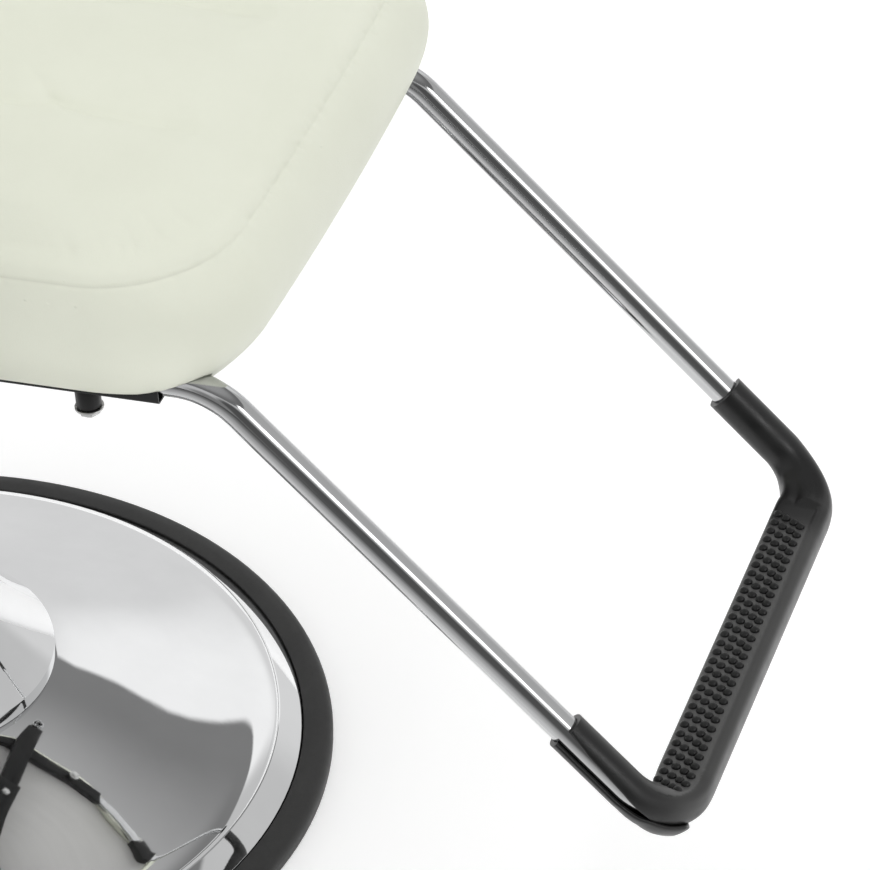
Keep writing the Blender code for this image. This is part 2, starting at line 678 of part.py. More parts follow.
def footrest_path(inset=0.0):
    """The footrest tube's centre line in the seat's plane, with its ends cut back by an inset."""
    side = FOOTREST_SPACING / 2
    bar_y = FOOTREST_BEND_AT - FOOTREST_ARM * math.cos(FOOTREST_DROP)
    bar_z = -FOOTREST_ARM * math.sin(FOOTREST_DROP)
    back = FOOTREST_BACK - inset
    return rounded([
        ((-side, back, 0), 0), ((-side, FOOTREST_BEND_AT, 0), FOOTREST_BEND),
        ((-side, bar_y, bar_z), FOOTREST_CORNER), ((side, bar_y, bar_z), FOOTREST_CORNER),
        ((side, FOOTREST_BEND_AT, 0), FOOTREST_BEND), ((side, back, 0), 0),
    ])


def build_swivel(looks, axis, seat):
    """The hub that turns on the ram, and the plate bolted under the seat's rails."""
    half = MOUNT_WIDTH / 2
    plate = box("seat_mount_plate", (-half, RAIL_FRONT - MOUNT_MARGIN, MOUNT_LOW),
                (half, RAIL_BACK + MOUNT_MARGIN, MOUNT_LOW + MOUNT_THICKNESS), looks["black"], seat)
    joint = SEAT_HEIGHT + MOUNT_LOW
    bore = SPIGOT_RADIUS + RUN_GAP
    foot = RAM_SHOULDER + WASHER_THICKNESS + 2 * REST_GAP
    hub = turned("swivel_hub", [
        (bore, joint + HUB_FLANGE_DEPTH), (HUB_FLANGE_RADIUS, joint + HUB_FLANGE_DEPTH),
        (HUB_FLANGE_RADIUS, joint - HUB_FLANGE_DEPTH), (HUB_RADIUS, foot + HUB_EASE),
        (HUB_RADIUS, foot), (bore, foot),
    ], looks["black"], axis, ring=True)
    cut(hub, box("hub_top", (-half, -half, MOUNT_LOW - REST_GAP), (half, half, -MOUNT_LOW),
                 looks["black"], seat))
    return plate


def build_rails(looks, seat, plate):
    """Two cross rails on the plate, hollow between their solid ends, with their bolts."""
    top = -SOCKET_SIZE / 2 - REST_GAP
    low = top - RAIL_HEIGHT
    half = ARM_OUT - ARM_RADIUS - REST_GAP
    under = MOUNT_LOW - REST_GAP
    shank = MOUNT_THICKNESS + RAIL_WALL + BOLT_HEAD_HEIGHT
    number = 0
    for name, at in (("cross_rail_front", RAIL_FRONT), ("cross_rail_rear", RAIL_BACK)):
        rail = box(name, (-half, at - RAIL_WIDTH / 2, low), (half, at + RAIL_WIDTH / 2, top),
                   looks["black"], seat)
        inner = RAIL_WIDTH / 2 - RAIL_WALL
        cut(rail, box("rail_core", (RAIL_WIDTH - half, at - inner, low + RAIL_WALL),
                      (half - RAIL_WIDTH, at + inner, top - RAIL_WALL), looks["black"], seat))
        for side in (-1, 1):
            number += 1
            spot = (side * MOUNT_BOLT_SPACING / 2, at, under)
            bolt(f"mount_bolt_{number}", shank, looks["bolt"], seat, spot)
            hole = bolt_hole(shank + REST_GAP, looks["bolt"], seat, spot)
            cut(plate, hole)
            cut(rail, hole)
            cut(rail, arm_bolt_hole(looks, seat, side, at))


def arm_bolt_spot(side, at):
    """Where an arm bolt's head meets its leg, and the turn that points its shank at the rail."""
    height = -SOCKET_SIZE / 2 - REST_GAP - RAIL_HEIGHT / 2
    return (side * (ARM_OUT + ARM_RADIUS + REST_GAP), at, height), (0, -side * math.pi / 2, 0)


def arm_bolt_hole(looks, seat, side, at):
    """The cutter for an arm bolt's hole through the leg and into the rail's end."""
    spot, turn = arm_bolt_spot(side, at)
    return bolt_hole(2 * ARM_RADIUS + ARM_BOLT_GRIP + REST_GAP, looks["bolt"], seat, spot, turn)


def build_footrest(looks, seat):
    """Two sockets, the bent tube that slides into them, and the clamping bolts."""
    piece = meshed(tube("footrest_tube", footrest_path(), TUBE_RADIUS, looks["chrome"], seat, 4))
    cut(piece, meshed(tube("tube_bore", footrest_path(-BORE_OVERRUN), TUBE_RADIUS - TUBE_WALL,
                           looks["chrome"], seat)))
    half = SOCKET_SIZE / 2
    inner = half - SOCKET_WALL
    low = -half - REST_GAP - SPACER_HEIGHT
    washer_top = low - REST_GAP
    under = washer_top - FOOT_WASHER_THICKNESS - REST_GAP
    shank = half - REST_GAP - under
    hole_radius = BOLT_RADIUS + REST_GAP
    for side, label in ((-1, "right"), (1, "left")):
        x = side * FOOTREST_SPACING / 2
        socket = box(f"footrest_socket_{label}", (x - half, SOCKET_FRONT, -half),
                     (x + half, SOCKET_BACK, half), looks["black"], seat)
        cut(socket, box("socket_bore", (x - inner, SOCKET_FRONT - half, -inner),
                        (x + inner, SOCKET_BACK + half, inner), looks["black"], seat))
        spot = (x, FOOT_BOLT_AT, 0)
        washer(f"footrest_spacer_{label}", hole_radius, SPACER_RADIUS, low, -half - REST_GAP,
               looks["black"], seat, spot, COARSE)
        washer(f"footrest_washer_{label}", hole_radius, FOOT_WASHER_RADIUS,
               washer_top - FOOT_WASHER_THICKNESS, washer_top, looks["bolt"], seat, spot, COARSE)
        at = (x, FOOT_BOLT_AT, under)
        bolt(f"footrest_bolt_{label}", shank, looks["bolt"], seat, at)
        hole = bolt_hole(shank + SOCKET_SIZE, looks["bolt"], seat, at)
        cut(socket, hole)
        cut(piece, hole)


def build_cover(looks, seat):
    """The rubber cover: a slit sleeve round the tube's U, moulded in one with the level tread."""
    plane = empty("footrest_plane", (0, FOOTREST_BEND_AT, 0), (FOOTREST_DROP, 0, 0), seat)
    side = FOOTREST_SPACING / 2
    corners = [((-side, -FOOTREST_ARM, 0), FOOTREST_CORNER), ((side, -FOOTREST_ARM, 0), FOOTREST_CORNER)]

    def u_path(end):
        return rounded([((-side, end, 0), 0), *corners, ((side, end, 0), 0)])

    end = SLEEVE_LENGTH - FOOTREST_ARM
    cover = meshed(tube("footrest_cover", u_path(end), TUBE_RADIUS + SLEEVE_WALL, looks["rubber"], plane, 4))
    bar = empty("footrest_bar", (0, FOOTREST_BEND_AT - FOOTREST_ARM * math.cos(FOOTREST_DROP),
                                 -FOOTREST_ARM * math.sin(FOOTREST_DROP)), (SEAT_TILT, 0, 0), seat)
    roll = TREAD_HEIGHT + TREAD_ROLL
    edge = TREAD_FRONT - TREAD_ROLL_WIDTH
    outline = rounded([
        ((-TREAD_BACK, TREAD_HEIGHT), 0), ((edge, TREAD_HEIGHT), 0), ((edge + TREAD_ROLL, roll), 0),
        ((TREAD_FRONT, roll), TREAD_ROLL), ((TREAD_FRONT, -TREAD_DEPTH), TREAD_EASE),
        ((-TREAD_BACK, -TREAD_DEPTH), TREAD_EASE),
    ], closed=True, steps=3)
    half = TREAD_LENGTH / 2
    tread = meshed(sheet("tread", outline, -TREAD_LENGTH, TREAD_LENGTH, looks["rubber"], bar,
                         rotation=SIDEWAYS))
    plan = rounded([((-half, -TREAD_FRONT), TREAD_CORNER), ((half, -TREAD_FRONT), TREAD_CORNER),
                    ((half, TREAD_BACK), 0), ((-half, TREAD_BACK), 0)], closed=True, steps=4)
    cut(tread, meshed(sheet("tread_plan", plan, -TREAD_LENGTH, TREAD_LENGTH, looks["rubber"], bar)),
        'INTERSECT')
    fuse(cover, tread)
    cut(cover, meshed(tube("sleeve_bore", u_path(end + BORE_OVERRUN), TUBE_RADIUS + REST_GAP,
                           looks["rubber"], plane, 6)))
    for sign in (-1, 1):
        near = sign * (side + SLIT_START)
        far = sign * (side + 2 * (TUBE_RADIUS + SLEEVE_WALL))
        cut(cover, box("sleeve_slit", (min(near, far), -FOOTREST_ARM, -SLEEVE_SLIT / 2),
                       (max(near, far), end + BORE_OVERRUN, SLEEVE_SLIT / 2), looks["rubber"], plane))


def build_seat(looks, seat):
    """The plywood seat board and the cushion pulled down round it."""
    low = SOCKET_SIZE / 2 + REST_GAP
    high = low + BOARD_THICKNESS
    sheet("seat_board", board_outline(-REST_GAP), low, high, looks["plywood"], seat)
    pad = cushion("seat_cushion", SEAT_HALF_WIDTH, SEAT_FRONT, SEAT_REAR, (SEAT_CORNER_LOW, SEAT_CORNER),
                  SEAT_BOTTOM, SEAT_BOXING, SEAT_CROWN, (SEAT_TUCK, SEAT_SEAM_INSET), looks["vinyl"], seat,
                  SEAT_CHANNEL)
    cut(pad, meshed(sheet("seat_pocket", board_outline(0), SEAT_BOTTOM - BOARD_THICKNESS,
                          high + REST_GAP, looks["vinyl"], seat)))
    cut(pad, meshed(tube("tube_notch", footrest_path(NOTCH_CLEARANCE), TUBE_RADIUS + TUBE_CLEARANCE,
                         looks["vinyl"], seat, 4)))
    half = SOCKET_SIZE / 2 + REST_GAP
    for x in (-FOOTREST_SPACING / 2, FOOTREST_SPACING / 2):
        cut(pad, box("socket_notch", (x - half, SOCKET_FRONT - REST_GAP, -SOCKET_SIZE),
                     (x + half, SEAT_REAR, half), looks["vinyl"], seat))


def build_back(looks, seat):
    """Two bent flat bars, the back's board bolted to them, and its cushion."""
    foot = -SOCKET_SIZE / 2 - RAIL_HEIGHT - 2 * REST_GAP - BRACKET_THICKNESS / 2
    rise = Vector((-math.sin(BACK_RECLINE), math.cos(BACK_RECLINE)))
    corner = Vector((-BACK_AT, foot))
    path = rounded([((-BRACKET_START, foot), 0), (corner, BRACKET_BEND), (corner + rise * BRACKET_TOP, 0)])
    hinge = empty("back_frame", (0, BACK_AT, foot), (-BACK_RECLINE, 0, 0), seat)
    face = empty("back_face", (0, 0, 0), FORWARD, hinge)
    rear = BRACKET_THICKNESS / 2 + REST_GAP
    top = BACK_BOTTOM + BACK_HEIGHT

    def outline(grow):
        half = BACK_HALF_WIDTH - BACK_TUCK - BACK_SKIRT + grow
        low = BACK_BOTTOM + BACK_TUCK + BACK_SKIRT - grow
        high = top - BACK_TUCK - BACK_SKIRT + grow
        radius = BACK_CORNER - BACK_SKIRT + grow
        return rounded([((-half, low), radius), ((half, low), radius), ((half, high), radius),
                        ((-half, high), radius)], closed=True, steps=4)

    board = meshed(sheet("back_board", outline(-REST_GAP), rear, rear + BACK_BOARD_THICKNESS,
                         looks["plywood"], face))
    pad = cushion("back_cushion", BACK_HALF_WIDTH, BACK_BOTTOM, top, (BACK_CORNER, BACK_CORNER), rear,
                  BACK_THICKNESS - BACK_CROWN, BACK_CROWN, (BACK_TUCK, BACK_SEAM_INSET), looks["vinyl"],
                  face)
    cut(pad, meshed(sheet("back_pocket", outline(0), -BACK_BOARD_THICKNESS,
                          rear + BACK_BOARD_THICKNESS + REST_GAP, looks["vinyl"], face)))
    shank = BRACKET_THICKNESS + BACK_BOLT_BITE
    number = 0
    for side, label in ((-1, "right"), (1, "left")):
        x = side * BRACKET_SPACING / 2
        bracket = meshed(sheet(f"back_bracket_{label}", strip(path, BRACKET_THICKNESS),
                               -BRACKET_WIDTH / 2, BRACKET_WIDTH / 2, looks["black"], seat, (x, 0, 0),
                               SIDEWAYS))
        for height in BACK_BOLT_HEIGHTS:
            number += 1
            spot = (x, height, -BRACKET_THICKNESS / 2 - REST_GAP)
            bolt(f"back_bolt_{number}", shank, looks["bolt"], face, spot)
            hole = bolt_hole(shank + REST_GAP, looks["bolt"], face, spot)
            cut(bracket, hole)
            cut(board, hole)


def build_arms(looks, seat):
    """Two bent tubes bolted to the rails' ends, each with a moulded pad."""
    rail = -SOCKET_SIZE / 2 - REST_GAP - RAIL_HEIGHT / 2
    foot = rail - ARM_FOOT
    number = 0
    for side, label in ((-1, "right"), (1, "left")):
        x = side * ARM_OUT
        corners = [
            ((x, RAIL_FRONT, foot), 0), ((x, RAIL_FRONT - ARM_FRONT_LEAN, ARM_HEIGHT), ARM_BEND),
            ((x, RAIL_BACK + ARM_BACK_LEAN, ARM_HEIGHT), ARM_BEND), ((x, RAIL_BACK, foot), 0),
        ]
        frame = meshed(tube(f"arm_frame_{label}", rounded(corners), ARM_RADIUS, looks["chrome"], seat, 4))
        deep = foot - BORE_OVERRUN
        corners[0] = ((x, RAIL_FRONT, deep), 0)
        corners[3] = ((x, RAIL_BACK, deep), 0)
        cut(frame, meshed(tube("arm_bore", rounded(corners), ARM_RADIUS - ARM_WALL, looks["chrome"], seat)))
        for at in (RAIL_FRONT, RAIL_BACK):
            number += 1
            spot, turn = arm_bolt_spot(side, at)
            bolt(f"arm_bolt_{number}", 2 * ARM_RADIUS + ARM_BOLT_GRIP, looks["bolt"], seat, spot, turn)
            cut(frame, arm_bolt_hole(looks, seat, side, at))
        middle = (RAIL_FRONT - ARM_FRONT_LEAN + RAIL_BACK + ARM_BACK_LEAN) / 2
        low = ARM_HEIGHT + ARM_RADIUS - ARM_PAD_WRAP
        pad = box(f"arm_pad_{label}", (x - ARM_PAD_WIDTH / 2, middle - ARM_PAD_LENGTH / 2, low),
                  (x + ARM_PAD_WIDTH / 2, middle + ARM_PAD_LENGTH / 2, low + ARM_PAD_HEIGHT),
                  looks["pad"], seat, ARM_PAD_EASE)
        cut(pad, rod("pad_groove", ARM_RADIUS + REST_GAP, -ARM_PAD_LENGTH, ARM_PAD_LENGTH,
                     looks["pad"], seat, (x, middle, ARM_HEIGHT), FORWARD, MEDIUM))


def main():
    """Builds the chair."""
    clear_scene()
    looks = {
        "chrome": finish("chrome", (0.82, 0.83, 0.84), 1.0, 0.08),
        "steel": finish("steel", (0.45, 0.45, 0.46), 1.0, 0.45),
        "bolt": finish("bolt", (0.70, 0.70, 0.70), 1.0, 0.25),
        "iron": finish("iron", (0.10, 0.10, 0.11), 0.6, 0.60),
        "bronze": finish("bronze", (0.55, 0.36, 0.16), 1.0, 0.35),
        "black": finish("black", (0.02, 0.02, 0.02), 0.2, 0.45),
        "rubber": finish("rubber", (0.025, 0.025, 0.025), 0.0, 0.70),
        "pad": finish("pad", (0.03, 0.03, 0.03), 0.0, 0.55),
        "vinyl": finish("vinyl", (0.72, 0.73, 0.62), 0.0, 0.45),
        "plywood": finish("plywood", (0.55, 0.40, 0.24), 0.0, 0.70),
    }
    plate, bell = build_base(looks)
    lift = empty("lift")
    axis = empty("swivel", parent=lift)
    seat = empty("seat_tilt", (0, 0, SEAT_HEIGHT), (-SEAT_TILT, 0, 0), axis)
    pedal_frame = empty("pedal_frame", rotation=(0, 0, -PEDAL_AZIMUTH))
    build_flange_bolts(looks, pedal_frame, plate, build_column(looks, lift))
    build_pump(looks, pedal_frame, bell)
    build_rails(looks, seat, build_swivel(looks, axis, seat))
    build_footrest(looks, seat)
    build_cover(looks, seat)
    build_seat(looks, seat)
    build_back(looks, seat)
    build_arms(looks, seat)


main()
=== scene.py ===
"""Looks of a hydraulic hairdressing chair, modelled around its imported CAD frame.

Metres, +Z up. The origin is on the floor at the base's axis, and the sitter faces -Y.
"""

import logging
import math
from contextlib import contextmanager
from dataclasses import dataclass
from enum import Enum
from typing import Callable, Iterator, Sequence

import bmesh
import bpy
import numpy as np
from mathutils import Matrix, Vector, noise
from mathutils.kdtree import KDTree

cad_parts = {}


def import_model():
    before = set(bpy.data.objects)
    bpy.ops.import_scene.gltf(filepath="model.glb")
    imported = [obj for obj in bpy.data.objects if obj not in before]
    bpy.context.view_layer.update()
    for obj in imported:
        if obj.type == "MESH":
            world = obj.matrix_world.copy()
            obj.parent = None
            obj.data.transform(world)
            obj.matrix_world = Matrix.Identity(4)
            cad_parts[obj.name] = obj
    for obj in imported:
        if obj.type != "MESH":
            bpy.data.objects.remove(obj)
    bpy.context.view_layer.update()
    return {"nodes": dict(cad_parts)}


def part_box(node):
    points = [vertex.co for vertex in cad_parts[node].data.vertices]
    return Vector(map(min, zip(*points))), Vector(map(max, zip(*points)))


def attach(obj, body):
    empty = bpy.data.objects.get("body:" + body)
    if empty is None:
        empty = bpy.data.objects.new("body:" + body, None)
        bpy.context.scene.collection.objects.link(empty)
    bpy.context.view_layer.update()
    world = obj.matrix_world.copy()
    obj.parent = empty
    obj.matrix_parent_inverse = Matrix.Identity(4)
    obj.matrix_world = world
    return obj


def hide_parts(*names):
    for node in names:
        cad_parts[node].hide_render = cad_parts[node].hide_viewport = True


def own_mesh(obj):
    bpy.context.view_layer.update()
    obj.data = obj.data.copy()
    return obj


log = logging.getLogger("hairdressing_chair")

Piece = bpy.types.Object
Flat = tuple[float, float]
Spot = tuple[float, float, float]
Corner = tuple[Sequence[float], float]  # a point of a path, and the radius that the path turns on there
Part = bmesh.types.BMVert | bmesh.types.BMEdge | bmesh.types.BMFace
Socket = bpy.types.NodeSocket

MERGE = 0.00001  # points closer than this are one
CLEAR = 0.0003  # between pieces that sit on or in each other
SMOOTH_ANGLE = math.radians(35)  # edges sharper than this stay sharp
EASE_ANGLE = math.radians(30)  # edges sharper than this are rounded
FLAT_ANGLE = math.radians(1)  # faces closer to level than this are one
TINY = 1e-9


class Body(Enum):
    """The CAD bodies that pieces ride on."""

    BASE = "base"
    RAM = "ram"
    SEAT = "seat"
    PEDAL = "pedal"


class Side(Enum):
    """The sitter's two sides, with the sign of X on each."""

    RIGHT = -1
    LEFT = 1

    @property
    def label(self) -> str:
        """The side's name in the CAD nodes."""
        return self.name.lower()


class Axis(Enum):
    """Directions that edges of a grid run in."""

    X = 0
    Y = 1
    Z = 2


class Element(Enum):
    """What is selected in edit mode."""

    VERT = "verts"
    EDGE = "edges"
    FACE = "faces"


def grey(tone: float) -> Spot:
    """A neutral colour."""
    return tone, tone, tone


def heading(azimuth: float, height: float) -> Vector:
    """The direction at an azimuth from -Y towards +X and a height, both in degrees."""
    turn, lift = math.radians(azimuth), math.radians(height)
    return Vector((math.sin(turn) * math.cos(lift), -math.cos(turn) * math.cos(lift), math.sin(lift)))


def smooth_step(value: float, low: float, high: float) -> float:
    """How far a value has gone from low to high, eased at both ends."""
    share = min(max((value - low) / (high - low), 0.0), 1.0)
    return share * share * (3 - 2 * share)


def add_node(tree: bpy.types.NodeTree, kind: str, result: str, links: dict[str | int, Socket],
             values: dict[str | int, object], **settings: object) -> Socket:
    """Adds a shader node.

    Args:
        tree: the graph that it goes into.
        kind: its type, without the prefix that they all share.
        result: the output that is wanted.
        links: what feeds its inputs.
        values: inputs that are the same all over.
        settings: its other values, such as its mode.

    Returns:
        The output socket.
    """
    node = tree.nodes.new(f"ShaderNode{kind}")
    for name, value in settings.items():
        setattr(node, name, value)
    for name, value in values.items():
        node.inputs[name].default_value = value
    for name, source in links.items():
        tree.links.new(source, node.inputs[name])
    return node.outputs[result]


class Graph:
    """A material's node graph around its Principled shader, on Object coordinates."""

    def __init__(self, name: str) -> None:
        """Starts a material.

        Args:
            name: the material's name.
        """
        self.material = bpy.data.materials.new(name)
        self.material.use_nodes = True
        self.tree = self.material.node_tree
        self.shader = self.tree.nodes["Principled BSDF"]
        self.place = add_node(self.tree, "TexCoord", "Object", {}, {})

    def fixed(self, **values: float | Sequence[float]) -> None:
        """Sets sockets that are the same all over; underscores stand for spaces."""
        for name, value in values.items():
            label = name.replace("_", " ").title().replace("Ior", "IOR")
            self.shader.inputs[label].default_value = value

    def into(self, socket: str, source: Socket) -> None:
        """Feeds one of the shader's sockets."""
        self.tree.links.new(source, self.shader.inputs[socket])

    def stretched(self, scale: Spot) -> Socket:
        """Object coordinates, scaled along each axis."""
        return add_node(self.tree, "Mapping", "Vector", {"Vector": self.place}, {"Scale": scale})

    def noise(self, scale: float, detail: float = 3.0, rough: float = 0.5, where: Socket | None = None) -> Socket:
        """A noise pattern.

        Args:
            scale: patterns per metre.
            detail: octaves.
            rough: weight of the finer octaves.
            where: coordinates other than the plain Object ones.

        Returns:
            The pattern's value socket.
        """
        return add_node(self.tree, "TexNoise", "Fac", {"Vector": where or self.place},
                        {"Scale": scale, "Detail": detail, "Roughness": rough})

    def cells(self, scale: float, smooth: float) -> Socket:
        """The distances in a pattern of cells, so many per metre, that run into each other so far."""
        return add_node(self.tree, "TexVoronoi", "Distance", {"Vector": self.place},
                        {"Scale": scale, "Smoothness": smooth}, feature='SMOOTH_F1')

    def attribute(self, name: str) -> Socket:
        """The value of a mesh attribute of the piece."""
        return add_node(self.tree, "Attribute", "Fac", {}, {}, attribute_name=name)

    def tones(self, source: Socket, stops: Sequence[tuple[float, Spot]]) -> Socket:
        """Colours picked by a value.

        Args:
            source: the value.
            stops: places on it with their colours.

        Returns:
            The colour socket.
        """
        colour = add_node(self.tree, "ValToRGB", "Color", {"Fac": source}, {})
        elements = colour.node.color_ramp.elements
        while len(elements) < len(stops):
            elements.new(0.5)
        for element, (place, tone) in zip(elements, stops):
            element.position = place
            element.color = (*tone, 1.0)
        return colour

    def span(self, source: Socket, low: float, high: float) -> Socket:
        """A pattern's value brought into a range."""
        return add_node(self.tree, "MapRange", "Result", {"Value": source},
                        {"From Min": 0.3, "From Max": 0.7, "To Min": low, "To Max": high})

    def mixed(self, share: Socket, first: Socket, second: Spot) -> Socket:
        """A colour that turns into a second one by a share."""
        return add_node(self.tree, "Mix", "Result", {"Factor": share, "A": first}, {"B": (*second, 1.0)},
                        data_type='RGBA')

    def relief(self, height: Socket, depth: float, strength: float, under: Socket | None = None) -> Socket:
        """A bump.

        Args:
            height: the pattern.
            depth: its height in metres.
            strength: its share from 0 to 1.
            under: normals that it adds to.

        Returns:
            The normal socket.
        """
        links = {"Height": height, "Normal": under} if under else {"Height": height}
        return add_node(self.tree, "Bump", "Normal", links, {"Strength": strength, "Distance": depth})


@dataclass(frozen=True)
class Finish:
    """A procedural finish with the record's slot that it stands for."""

    name: str
    slot: str

    def compose(self, graph: Graph) -> None:
        """Fills in the material's graph."""
        raise NotImplementedError

    def material(self) -> bpy.types.Material:
        """The finish's material, made on first use."""
        found = bpy.data.materials.get(f"{self.name}_finish")
        if found:
            return found
        graph = Graph(f"{self.name}_finish")
        self.compose(graph)
        return graph.material


@dataclass(frozen=True)
class Metal(Finish):
    """Plated, machined or cast metal."""

    tone: Spot
    sheen: Flat  # roughness where it is cleanest and where it is dullest
    smear: float = 40.0  # of the dull patches, per metre
    ripple: float = 0.00002
    grain: float = 60.0
    metallic: float = 1.0
    tint: float = 0.94  # of the darker patches

    def compose(self, graph: Graph) -> None:
        """Fills in the material's graph."""
        graph.fixed(metallic=self.metallic)
        dark = tuple(channel * self.tint for channel in self.tone)
        patches = graph.noise(self.smear / 4, 4.0, 0.6)
        graph.into("Base Color", graph.tones(patches, [(0.35, dark), (0.65, self.tone)]))
        graph.into("Roughness", graph.span(graph.noise(self.smear, 5.0, 0.65), *self.sheen))
        graph.into("Normal", graph.relief(graph.noise(self.grain, 3.0), self.ripple, 0.5))


@dataclass(frozen=True)
class Moulding(Finish):
    """Rubber, moulded foam skin or powder coat: dark, with a fine pebbled skin."""

    tone: Spot
    worn: Spot
    gloss: Flat
    pebbles: float = 1400.0
    depth: float = 0.00012
    specular: float = 0.5
    dust: Spot = (0.135, 0.135, 0.133)  # the colour where the piece's attribute of dust and painted light is 1: dust on a tread, painted light with dust on a roll

    def compose(self, graph: Graph) -> None:
        """Fills in the material's graph."""
        graph.fixed(specular_ior_level=self.specular)
        skin = graph.tones(graph.noise(14.0, 6.0, 0.7), [(0.38, self.tone), (0.72, self.worn)])
        # Dust and painted light: an attribute lightens the colour, by dust on a tread and by painted light with dust
        # on a roll that faces the light.
        graph.into("Base Color", graph.mixed(graph.attribute("dust"), skin, self.dust))
        graph.into("Roughness", graph.span(graph.noise(55.0, 5.0, 0.6), *self.gloss))
        skin = graph.relief(graph.cells(self.pebbles, 0.5), self.depth, 0.35)
        graph.into("Normal", graph.relief(graph.noise(240.0, 4.0), self.depth * 2, 0.12, skin))


@dataclass(frozen=True)
class Vinyl(Finish):
    """Cream upholstery vinyl with a fine grain, with painted shade along its seams."""

    tone: Spot
    shade: Spot
    crease: Spot
    gloss: Flat

    def compose(self, graph: Graph) -> None:
        """Fills in the material's graph."""
        graph.fixed(specular_ior_level=0.42)
        clouds = graph.noise(9.0, 5.0, 0.55)
        skin = graph.tones(clouds, [(0.36, self.shade), (0.64, self.tone)])
        # Painted shade: the crease attribute darkens the colour along the seams.
        graph.into("Base Color", graph.mixed(graph.attribute("crease"), skin, self.crease))
        graph.into("Roughness", graph.span(graph.noise(30.0, 5.0, 0.6), *self.gloss))
        grain = graph.relief(graph.cells(1050.0, 0.35), 0.00022, 0.30)
        pores = graph.relief(graph.noise(2600.0, 2.0), 0.0001, 0.18, grain)
        graph.into("Normal", graph.relief(graph.noise(70.0, 4.0, 0.6), 0.0009, 0.10, pores))


@dataclass(frozen=True)
class Plywood(Finish):
    """Primed plywood, with its grain along Y."""

    tone: Spot
    grain: Spot

    def compose(self, graph: Graph) -> None:
        """Fills in the material's graph."""
        figure = graph.noise(60.0, 6.0, 0.6, graph.stretched((1.0, 0.06, 1.0)))
        graph.into("Base Color", graph.tones(figure, [(0.35, self.grain), (0.62, self.tone)]))
        graph.into("Roughness", graph.span(figure, 0.55, 0.72))
        pores = graph.noise(900.0, 2.0, 0.5, graph.stretched((1.0, 0.03, 1.0)))
        graph.into("Normal", graph.relief(pores, 0.0002, 0.4))


class Finishes:
    """The chair's finishes."""

    DOME_CHROME = Metal("dome_chrome", "chrome", (0.86, 0.865, 0.87), (0.015, 0.045))
    TUBE_CHROME = Metal("tube_chrome", "chrome", (0.60, 0.605, 0.61), (0.07, 0.12), grain=25.0)
    LEVER_CHROME = Metal("lever_chrome", "chrome", (0.78, 0.785, 0.79), (0.03, 0.07))
    ZINC = Metal("zinc", "bolt", (0.62, 0.62, 0.61), (0.20, 0.38), 160.0, 0.00005, 500.0)
    STEEL = Metal("machined_steel", "steel", (0.42, 0.42, 0.43), (0.32, 0.52), 90.0, 0.00006, 600.0)
    BRONZE = Metal("bush_bronze", "bronze", (0.52, 0.34, 0.16), (0.28, 0.45), 90.0, 0.00005, 500.0)
    IRON = Metal("cast_iron", "iron", (0.07, 0.07, 0.075), (0.50, 0.75), 120.0, 0.0004, 700.0, 0.5, 0.7)
    PAINT = Moulding("black_paint", "black", grey(0.009), grey(0.016), (0.28, 0.42), 900.0, 0.00008, 0.25)
    RUBBER = Moulding("cover_rubber", "rubber", grey(0.006), grey(0.011), (0.30, 0.42))
    RIM = Moulding("rim_rubber", "rubber", (0.026, 0.026, 0.026), (0.038, 0.038, 0.037), (0.45, 0.60))
    PAD = Moulding("arm_pad_skin", "pad", (0.014, 0.014, 0.014), (0.026, 0.026, 0.025), (0.44, 0.60),
                   800.0, 0.0002)
    VINYL = Vinyl("cream_vinyl", "vinyl", (0.80, 0.82, 0.70), (0.775, 0.795, 0.675), (0.30, 0.31, 0.24),
                  (0.40, 0.50))
    PLYWOOD = Plywood("primed_plywood", "plywood", (0.60, 0.595, 0.58), (0.565, 0.56, 0.545))


def rounded(corners: Sequence[Corner], closed: bool = False, steps: int = 12) -> list[Vector]:
    """The points of a path through corners, each turned on an arc.

    Args:
        corners: points with the radius that the path turns on there.
        closed: whether the path runs back to its start.
        steps: stretches in each arc.

    Returns:
        The path's points.
    """
    points: list[Vector] = []
    count = len(corners)
    for i, (spot, radius) in enumerate(corners):
        corner = Vector(spot)
        if not radius or (not closed and i in (0, count - 1)):
            points.append(corner)
            continue
        before = (Vector(corners[i - 1][0]) - corner).normalized()
        after = (Vector(corners[(i + 1) % count][0]) - corner).normalized()
        half = before.angle(after) / 2
        centre = corner + (before + after).normalized() * (radius / math.sin(half))
        start = corner + before * (radius / math.tan(half)) - centre
        end = corner + after * (radius / math.tan(half)) - centre
        sweep = start.angle(end)
        for k in range(steps + 1):
            t = k / steps
            points.append(centre + (math.sin((1 - t) * sweep) * start
                                    + math.sin(t * sweep) * end) / math.sin(sweep))
    return points


def wall_inside(profile: Sequence[Flat], wall: float) -> list[Flat]:
    """The inner side of a turned wall.

    Args:
        profile: (radius, height) points of the outer side, from the top down.
        wall: the wall's thickness.

    Returns:
        The inner side's points, from the bottom up.
    """
    inner: list[Flat] = []
    for i, point in enumerate(profile):
        along = Vector(profile[min(i + 1, len(profile) - 1)]) - Vector(profile[max(i - 1, 0)])
        along.normalize()
        inner.append((point[0] + wall * along.y, point[1] - wall * along.x))
    return inner[::-1]


